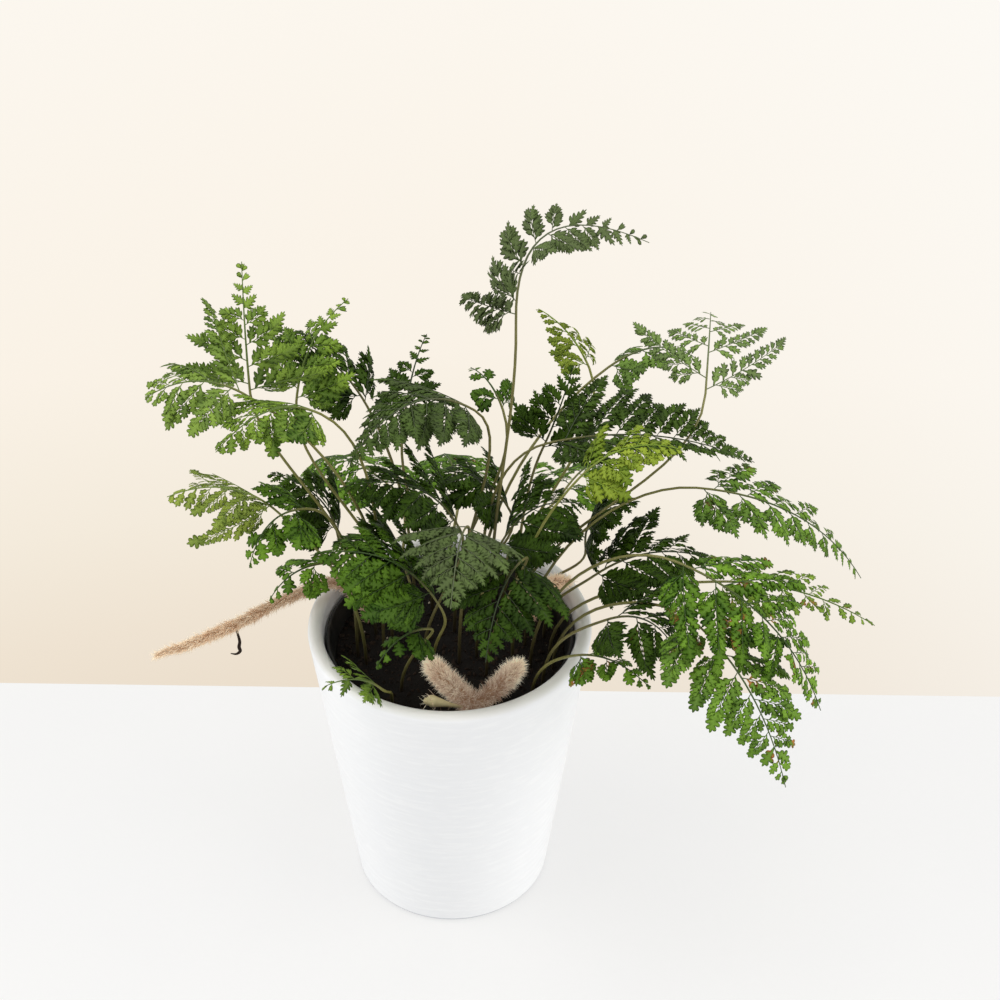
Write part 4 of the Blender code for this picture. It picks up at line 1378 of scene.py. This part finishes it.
def frond_skeleton(lines):
    """Stem, midrib, branches and leaflets of one frond."""
    nature = CHARACTERS.get(lines.name, PLAIN)
    habit = HABITS[lines.colour].filled(nature.full)
    habit.pointed = habit.pointed or nature.pointed
    draw = Random(lines.name)
    skeleton = Skeleton(habit, draw)
    us = [i / 14 for i in range(14)]
    ts = [nature.end * i / 16 for i in range(17)]
    line = [lines.root - UP * (HOLE_DEPTH - 0.5)]
    line += [lines.stem(u) for u in us] + [lines.midrib(t) for t in ts]
    radii = [STEM_RADIUS] + [STEM_RADIUS - 0.20 * u for u in us] + [0.56 - 0.40 * t for t in ts]
    greens = [0.0] + [0.15 * u for u in us] + [0.15 + 0.85 * min(3.0 * t, 1.0) for t in ts]
    skeleton.path(line, radii, greens)
    places = blade_places(lines, habit, nature.end)
    for j, t in enumerate(places):
        skeleton.youth = t
        gap = ((places[j + 1] if j + 1 < len(places) else nature.end) - t) * lines.chord.length
        for hand in (1, -1):
            here = min(t + (0.28 * gap / lines.chord.length if hand < 0 else 0.0), 0.99)
            lift, length = lines.branch(here, hand)
            lift += draw.gauss(0, 2 + 13 * nature.wild)
            length *= draw.uniform(0.95 - 0.2 * nature.wild, 1.05) * nature.stretch
            length *= 1 - (1 - nature.upper) * min(max(4 * here - 1.4, 0), 1)
            sweep = BRANCH_SWEEP + draw.gauss(0, 0.22 * nature.wild)
            droop = BRANCH_DROOP + draw.gauss(0, 0.30 * nature.wild)
            ways = (*lines.directions(here, hand, lift), sweep, droop)
            start = lines.midrib(here)
            half_width = min(0.32 * length, habit.branch_share * max(gap, 3.5)) * (1 + 0.22 * nature.full)
            if length > SHORTEST_BRANCH:
                boost = 0.7 if j == 0 else 0.25 if j == 1 else 0.0
                add_branch(skeleton, start, ways, length, half_width, boost)
            else:
                way = ways[0] + lines.heading(here) * 0.35
                size = max(length, SHORTEST_LEAFLET)
                put_leaflet(skeleton, start, way, ways[2], size, habit.plump * 1.1, True)
    ahead = lines.heading(1.0)
    put_leaflet(skeleton, lines.midrib(nature.end - TIP_SHARE), ahead, lines.side.cross(ahead),
                max(TIP_SHARE * lines.chord.length, 4.0), 0.9, True)
    return skeleton


SKELETONS = {name: frond_skeleton(lines) for name, lines in LINES.items()}
print("Leaflets in all:", sum(len(skeleton.leaflets) for skeleton in SKELETONS.values()))

# %% [markdown]
# ## Leaf and rib finishes
#
# Fern green is never one green. It changes slowly over a frond, a little from leaflet to leaflet,
# and each leaflet is paler underneath and along its rib. Mature fronds are leathery with a soft
# grey sheen on top, new ones are lime and thin. Some fronds have a grey-green sheen painted into
# their colour, others painted shade. Old fronds rust in spots, first at their edges.

# %% Leaf finishes
LEAF_TONES = {
    "leaf_dark": (tone(18, 36, 0), tone(68, 98, 18), tone(68, 88, 36), 0.50, 0.10),
    "leaf_mid": (tone(30, 64, 0), tone(120, 164, 44), tone(108, 138, 60), 0.50, 0.12),
    "leaf_light": (tone(48, 80, 10), tone(140, 172, 58), tone(128, 152, 78), 0.52, 0.14),
    "leaf_lime": (tone(74, 104, 8), tone(168, 188, 62), tone(146, 166, 76), 0.54, 0.12),
}
# The colours of the painted sheen and the painted shade that some fronds carry.
PAINTED_SHEEN_GREEN = tone(128, 138, 102)
SHADE_GREEN = tone(14, 36, 6)
RUST = tone(176, 118, 66)
RUST_RIM = tone(112, 66, 34)


def leaf_finish(name, deep, bright, under, roughness, sheen):
    """Leathery leaf with veins, slow changes of green, a pale underside, a painted sheen and painted shade,
    and rust where it is old.
    """
    leaf = Finish(name, Specular_IOR_Level=sheen)
    slow = leaf.noise(38.0, 3.0)
    fine = leaf.noise(420.0, 4.0, 0.6)
    tint = leaf.attribute("tint")
    patches = leaf.noise(150.0, 3.0).between(0.25, 0.75)
    lightness = slow.between(0.3, 0.7) * 0.38 + tint * 0.70 + patches * 0.36 - 0.22
    green = leaf.blend(lightness.clamped(), deep, bright)
    vein = leaf.attribute("vein")
    veined = leaf.blend(vein ** 3 * 0.30, green, under)
    toned = leaf.blend(leaf.attribute("side") * 0.65, veined, under)
    # pale above zero paints a grey-green sheen into the colour; below zero it paints shade.
    pale = leaf.attribute("pale")
    painted_sheen = leaf.blend(pale.clamped() * (slow * 0.5 + 0.55), toned, PAINTED_SHEEN_GREEN)
    shaded = leaf.blend((pale * -1.0).clamped(), painted_sheen, SHADE_GREEN)
    age = leaf.attribute("age")
    spots = leaf.noise(95.0, 4.0, 0.6)
    decay = spots + leaf.attribute("rim") * 0.08 + age * 0.10
    old = age.between(0.05, 0.3)
    rust = decay.between(0.745, 0.785) * old
    halo = decay.between(0.71, 0.75) * old
    worn = leaf.blend(rust, leaf.blend(halo * 0.6, shaded, RUST_RIM), RUST)
    leaf.drive("Base Color", worn)
    leaf.drive("Roughness", fine * 0.16 + rust * 0.3 + (roughness - 0.06))
    leaf.bump(vein * 0.6 + fine * 0.4, 0.00022, 0.7)
    return leaf.material


def rib_finish(name, woody, fresh):
    """Olive to dark brown stem that turns green toward the blade's tip, with painted shade near the soil and
    the frond's painted sheen.
    """
    rib = Finish(name, Specular_IOR_Level=0.4)
    streak = rib.noise(160.0, 4.0)
    green = rib.attribute("green")
    old = rib.blend(streak, woody, tone(136, 130, 78))
    # Near the soil the stem is darkened by painted shade.
    stem_with_soil_shade = rib.blend(green.between(0.0, 0.07), tone(40, 32, 18), old)
    # The frond's painted sheen pales the rib as well.
    blade = rib.blend(rib.attribute("pale").clamped(), fresh, PAINTED_SHEEN_GREEN)
    rib.drive("Base Color", rib.blend(green, stem_with_soil_shade, blade))
    rib.drive("Roughness", streak * 0.2 + 0.42)
    rib.bump(rib.noise(900.0), 0.0001)
    return rib.material


RIB_TONES = {
    "leaf_dark": (tone(92, 88, 44), tone(34, 50, 14)),
    "leaf_mid": (tone(104, 104, 46), tone(46, 72, 16)),
    "leaf_light": (tone(108, 108, 44), tone(84, 108, 36)),
    "leaf_lime": (tone(118, 124, 48), tone(116, 142, 40)),
}
leaf_materials = {name: leaf_finish("blade_" + name[5:], *tones) for name, tones in LEAF_TONES.items()}
rib_materials = {name: rib_finish("stem_" + name[5:], *tones) for name, tones in RIB_TONES.items()}
print("Leaf finishes:", sorted(leaf_materials))

# %% Grow every frond
RIB_SIDES = 6


def grow_frond(lines, skeleton):
    """One frond as a plain mesh that stands for its CAD node."""
    mesh = grown(lines.name + "_frond", skeleton.mesh(lines.name), FROND_TREE, {
        "Leaflets": LEAFLETS, "Leaf finish": leaf_materials[lines.colour],
        "Rib finish": rib_materials[lines.colour], "Rib sides": RIB_SIDES, "Leaflet scale": 1.0,
    })
    # age brings rust; pale carries the frond's painted sheen (above zero) and painted shade (below zero).
    for label, value in (("age", lines.age), ("pale", CHARACTERS.get(lines.name, PLAIN).pale)):
        mesh.attributes.new(label, "FLOAT", "POINT").data.foreach_set("value", [value] * len(mesh.vertices))
    piece = make_object(lines.name + "_frond", mesh)
    return stands_for(piece, "frond_" + lines.name)


fronds = [grow_frond(LINES[name], SKELETONS[name]) for name in FRONDS]
counts = [sum(len(face.vertices) - 2 for face in frond.data.polygons) for frond in fronds]
print("Triangles in the fronds:", sum(counts))

# %% [markdown]
# ## The furry feet
#
# The rhizomes creep over the rim like rabbit's feet. Under the fur each is a plain tapering stem,
# so the core is a round section swept along a smooth path. The fur is thousands of narrow scales
# that lie along it and point to its tip. Hair curves would be the usual tool, but an export drops
# them, so each scale is a small pointed mesh, scattered by a tree.
#
# Each tube of a foot has its path, its radii and how hairy it is: 1 is fur, 0.02 is the down on a
# bud and 0 is a bare root.

# %% Paths of the feet
LEFT_FOOT = [
    ([(-38, 22, 124), (-38, 22, 138), (-44, 21, 151), (-55, 18, 157.5), (-76, 8, 155.5), (-96, -4, 152.5),
      (-115, -14, 150.5), (-126, -19.0, 150), (-129.5, -21, 149.8)],
     [4.0, 4.2, 4.4, 4.0, 3.8, 4.0, 3.7, 3.1, 2.4], 1.0),
    ([(-96, -4, 151), (-95, -6, 148.5), (-94.2, -8, 146), (-94.6, -9, 143.6), (-94.2, -9.5, 141.6),
      (-96, -10, 140.3), (-98.5, -10, 140.7)],
     [0.5, 0.55, 0.7, 0.8, 0.75, 0.5, 0.2], 0.0),
]
FRONT_FOOT = [
    ([(10, -40, 124), (10, -40, 133), (4, -38, 140), (-3, -34, 145.5), (-8, -29, 149), (-10, -27, 150)],
     [5.8, 6.2, 6.4, 6.2, 5.4, 2.4], 1.0),
    ([(12, -40, 137), (18, -38, 140.5), (24, -34, 144), (29, -30, 147.5), (31.5, -28, 148.5)],
     [4.8, 5.6, 6.0, 5.4, 2.4], 1.0),
    ([(5, -42, 136), (0, -44, 139), (-5, -45, 141.5), (-8.5, -45, 142.5), (-10.5, -45, 142.5)],
     [1.6, 1.8, 2.8, 3.5, 2.4], 0.02),
]
RIGHT_FOOT = [
    ([(34, 18, 124), (34, 18, 134), (39, 17, 146), (47, 15, 157), (55, 12, 162)],
     [4.5, 5.2, 5.6, 5.2, 2.6], 1.0),
]


def smooth_path(points, radii, steps):
    """A Catmull-Rom curve through the points, with the radii carried along."""
    rows = [np.array([*p, r], float) for p, r in zip(points, radii)]
    rows = [2 * rows[0] - rows[1]] + rows + [2 * rows[-1] - rows[-2]]
    result = []
    for a, b, c, d in zip(rows, rows[1:], rows[2:], rows[3:]):
        for i in range(steps):
            u = i / steps
            result.append(0.5 * (2 * b + (c - a) * u + (2 * a - 5 * b + 4 * c - d) * u * u
                                 + (3 * b - a - 3 * c + d) * u ** 3))
    result.append(rows[-2])
    return [Vector(row[:3]) for row in result], [max(float(row[3]), 0.1) for row in result]


# %% [markdown]
# The tip of a foot is round, so the last radii follow a quarter circle. Each point of the path
# also stores the direction of growth, because the scales have to lie along it.

# %% The skeleton of a foot
BUD_FUR_DEPTH = 0.8
PATH_STEPS = 5


def foot_skeleton(name, tubes, fur_depth):
    """Edges for the core of a foot, with thickness, direction of growth and how hairy it is."""
    points, edges, thick, along, hairy, reach = [], [], [], [], [], []
    for path, radii, hair in tubes:
        line, widths = smooth_path(path, radii, PATH_STEPS)
        if hair:
            depth = fur_depth if hair == 1 else BUD_FUR_DEPTH
            widths = [max(width - depth, 0.5) for width in widths]
            way = (line[-1] - line[-2]).normalized()
            end, width = line[-1], widths[-1]
            for angle in (30, 55, 75, 88):
                line.append(end + way * width * sin(radians(angle)))
                widths.append(width * cos(radians(angle)))
        start = len(points)
        for i, point in enumerate(line):
            way = line[min(i + 1, len(line) - 1)] - line[max(i - 1, 0)]
            points.append(point * MM)
            along.append(tuple(way.normalized()))
            hairy.append(hair if point.z > SOIL_TOP - 1 else 0.0)
            reach.append(i / (len(line) - 1))
        thick += [width * MM for width in widths]
        edges += [(start + i, start + i + 1) for i in range(len(line) - 1)]
    mesh = bpy.data.meshes.new(name)
    mesh.from_pydata(points, edges, [])
    for label, values in (("thick", thick), ("hairy", hairy), ("reach", reach)):
        mesh.attributes.new(label, "FLOAT", "POINT").data.foreach_set("value", values)
    mesh.attributes.new("along", "FLOAT_VECTOR", "POINT").data.foreach_set("vector", np.array(along).ravel())
    return mesh


# %% One scale of the fur
def scale_mesh(number):
    """A narrow pointed scale, 1 long along +Z, bent toward +X, closed with three sides."""
    draw = Random(70 + number)
    bend = draw.uniform(0.10, 0.30)
    points, strand = [], []
    for height, width in ((0.0, 0.034), (0.55, 0.026)):
        lean = bend * height * height
        points += [(lean, -width, height), (lean, width, height), (lean + 0.5 * width, 0.0, height)]
        strand += [height] * 3
    points.append((bend, 0.0, 1.0))
    strand.append(1.0)
    faces = [(0, 1, 2), (0, 3, 4, 1), (1, 4, 5, 2), (2, 5, 3, 0), (3, 6, 4), (4, 6, 5), (5, 6, 3)]
    shape = bmesh.new()
    corners = [shape.verts.new(p) for p in points]
    for face in faces:
        shape.faces.new([corners[i] for i in face])
    bmesh.ops.recalc_face_normals(shape, faces=shape.faces)
    mesh = bpy.data.meshes.new("scale")
    shape.to_mesh(mesh)
    shape.free()
    mesh.attributes.new("strand", "FLOAT", "POINT").data.foreach_set("value", strand)
    mesh.shade_smooth()
    return mesh


# %% The tree that grows fur
def fur_tree():
    """Sweep the core of a foot, then cover it with scales that lean along it."""
    bench, wires = make_tree("Grow fur", {
        "Scales": "collection", "Core finish": "material", "Fur finish": "material", "Core sides": "int",
        "Density": "float", "Shortest": "float", "Longest": "float", "Lean": "float", "Disorder": "float",
        "Tufts": "float", "Seed": "int",
    })
    core = swept(bench, wires["Geometry"], wires["Core sides"])
    spots, points = scattered(bench, core, wires["Density"] * named(bench, "hairy"), wires["Seed"], 21)
    along = scaled(bench, named(bench, "along", "FLOAT_VECTOR"), wires["Lean"])
    luck = chance(bench, 22, "FLOAT_VECTOR", ((-1.0, -1.0, -1.0), (1.0, 1.0, 1.0)))
    tuft = bench.put("ShaderNodeTexNoise", None, {"Scale": 420.0, "Detail": 1.0})["Color"]
    tufted = scaled(bench, combined(bench, "SUBTRACT", tuft, (0.5, 0.5, 0.5)), wires["Tufts"])
    bent = combined(bench, "ADD", combined(bench, "ADD", spots["Normal"], along), tufted)
    way = combined(bench, "ADD", bent, scaled(bench, luck, wires["Disorder"]))
    turn = bench.put("FunctionNodeAxesToRotation", {"primary_axis": "Z", "secondary_axis": "X"}, {
        "Primary Axis": way, "Secondary Axis": luck,
    })
    size = chance(bench, 23, limits=(wires["Shortest"], wires["Longest"]))
    number = chance(bench, 24, "INT", (0, 2))
    fur = copies_of(bench, wires["Scales"], points, number, turn["Rotation"], size)
    return finish_tree(bench, painted(bench, smoothed(bench, core), wires["Core finish"]),
                       painted(bench, fur, wires["Fur finish"]))


# %% [markdown]
# The fur is pale at its ends and brown at its roots, tan to pinkish over the whole foot. The
# growing tip of the left foot is cream with a hint of orange. Under the fur the skin is brown. The
# fur also glows faintly: painted light that brightens it in its own shade and that of the leaves.

# %% Fur and skin finishes
def fur_finish(name, root, end, tip_tone, glow_strength):
    """Scales that pale toward their ends; a faint glow is painted light that stands for light passing through
    them and lifts them out of shade.
    """
    fur = Finish(name, Specular_IOR_Level=0.25, Emission_Strength=glow_strength)
    strand = fur.attribute("strand")
    shade = fur.attribute("shade")
    patch = fur.noise(90.0, 3.0)
    lightness = strand * 0.7 + shade * 0.45 + patch.between(0.3, 0.7) * 0.35 - 0.32
    body = fur.blend(lightness.clamped(), root, end)
    reach = fur.attribute("reach")
    # The fur turns dark brown toward the soil end of each tube.
    browner_toward_soil = fur.blend((1 - reach.between(0.20, 0.62)) * (0.85 - shade * 0.6), body, tone(112, 76, 54))
    coat = fur.blend(reach.between(0.45, 0.97) * 0.65, browner_toward_soil, tip_tone)
    fur.drive("Base Color", coat)
    # The glow is painted light: the scales light themselves.
    fur.drive("Emission Color", coat)
    fur.drive("Roughness", shade * 0.2 + 0.65)
    return fur.material


def skin_finish():
    """Brown skin of the rhizome, and the dark bare root."""
    skin = Finish("rhizome_skin", Specular_IOR_Level=0.2)
    grain = skin.noise(300.0, 5.0)
    hairy = skin.attribute("hairy")
    brown = skin.blend(grain, tone(150, 116, 88), tone(196, 160, 126))
    bud = skin.blend(grain, tone(186, 170, 122), tone(228, 218, 176))
    bare = skin.blend(hairy.between(0.005, 0.015), tone(40, 28, 20), bud)
    skin.drive("Base Color", skin.blend(hairy.between(0.15, 0.5), bare, brown))
    skin.drive("Roughness", grain * 0.2 + 0.7)
    skin.bump(grain, 0.0004)
    return skin.material


FUR_TREE = fur_tree()
SCALES = kit_of("scales", [scale_mesh(number) for number in range(3)])
SKIN = skin_finish()
# The last value is the strength of the painted glow.
TAN_FUR = fur_finish("tan_fur", tone(206, 164, 126), tone(255, 246, 222), tone(255, 240, 214), 0.26)
PALE_FUR = fur_finish("pale_fur", tone(176, 132, 104), tone(255, 252, 230), tone(255, 250, 222), 0.30)
print("Nodes in the fur's tree:", len(FUR_TREE.nodes))

# %% Grow the feet
CORE_SIDES = 20
SHORTEST_SCALE = 1.6
TUFTS = 4.0


def grow_foot(name, node, tubes, fur, fur_depth, density, longest, lean, disorder, seed):
    """One furry foot that stands for its CAD node."""
    mesh = grown(name, foot_skeleton(name, tubes, fur_depth), FUR_TREE, {
        "Scales": SCALES, "Core finish": SKIN, "Fur finish": fur, "Core sides": CORE_SIDES,
        "Density": density * 1e6, "Shortest": SHORTEST_SCALE * MM, "Longest": longest * MM,
        "Lean": lean, "Disorder": disorder, "Tufts": TUFTS, "Seed": seed,
    })
    return stands_for(make_object(name, mesh), node)


feet = [
    grow_foot("left_foot", "rhizome_left", LEFT_FOOT, TAN_FUR, 2.2, 8.0, 4.2, 1.9, 0.9, 1),
    grow_foot("front_foot", "rhizome_front", FRONT_FOOT, PALE_FUR, 2.7, 8.6, 4.4, 0.8, 0.9, 2),
    grow_foot("right_foot", "rhizome_right", RIGHT_FOOT, TAN_FUR, 2.0, 7.0, 3.8, 1.0, 0.9, 3),
]
print("Faces of the feet:", [len(foot.data.polygons) for foot in feet])
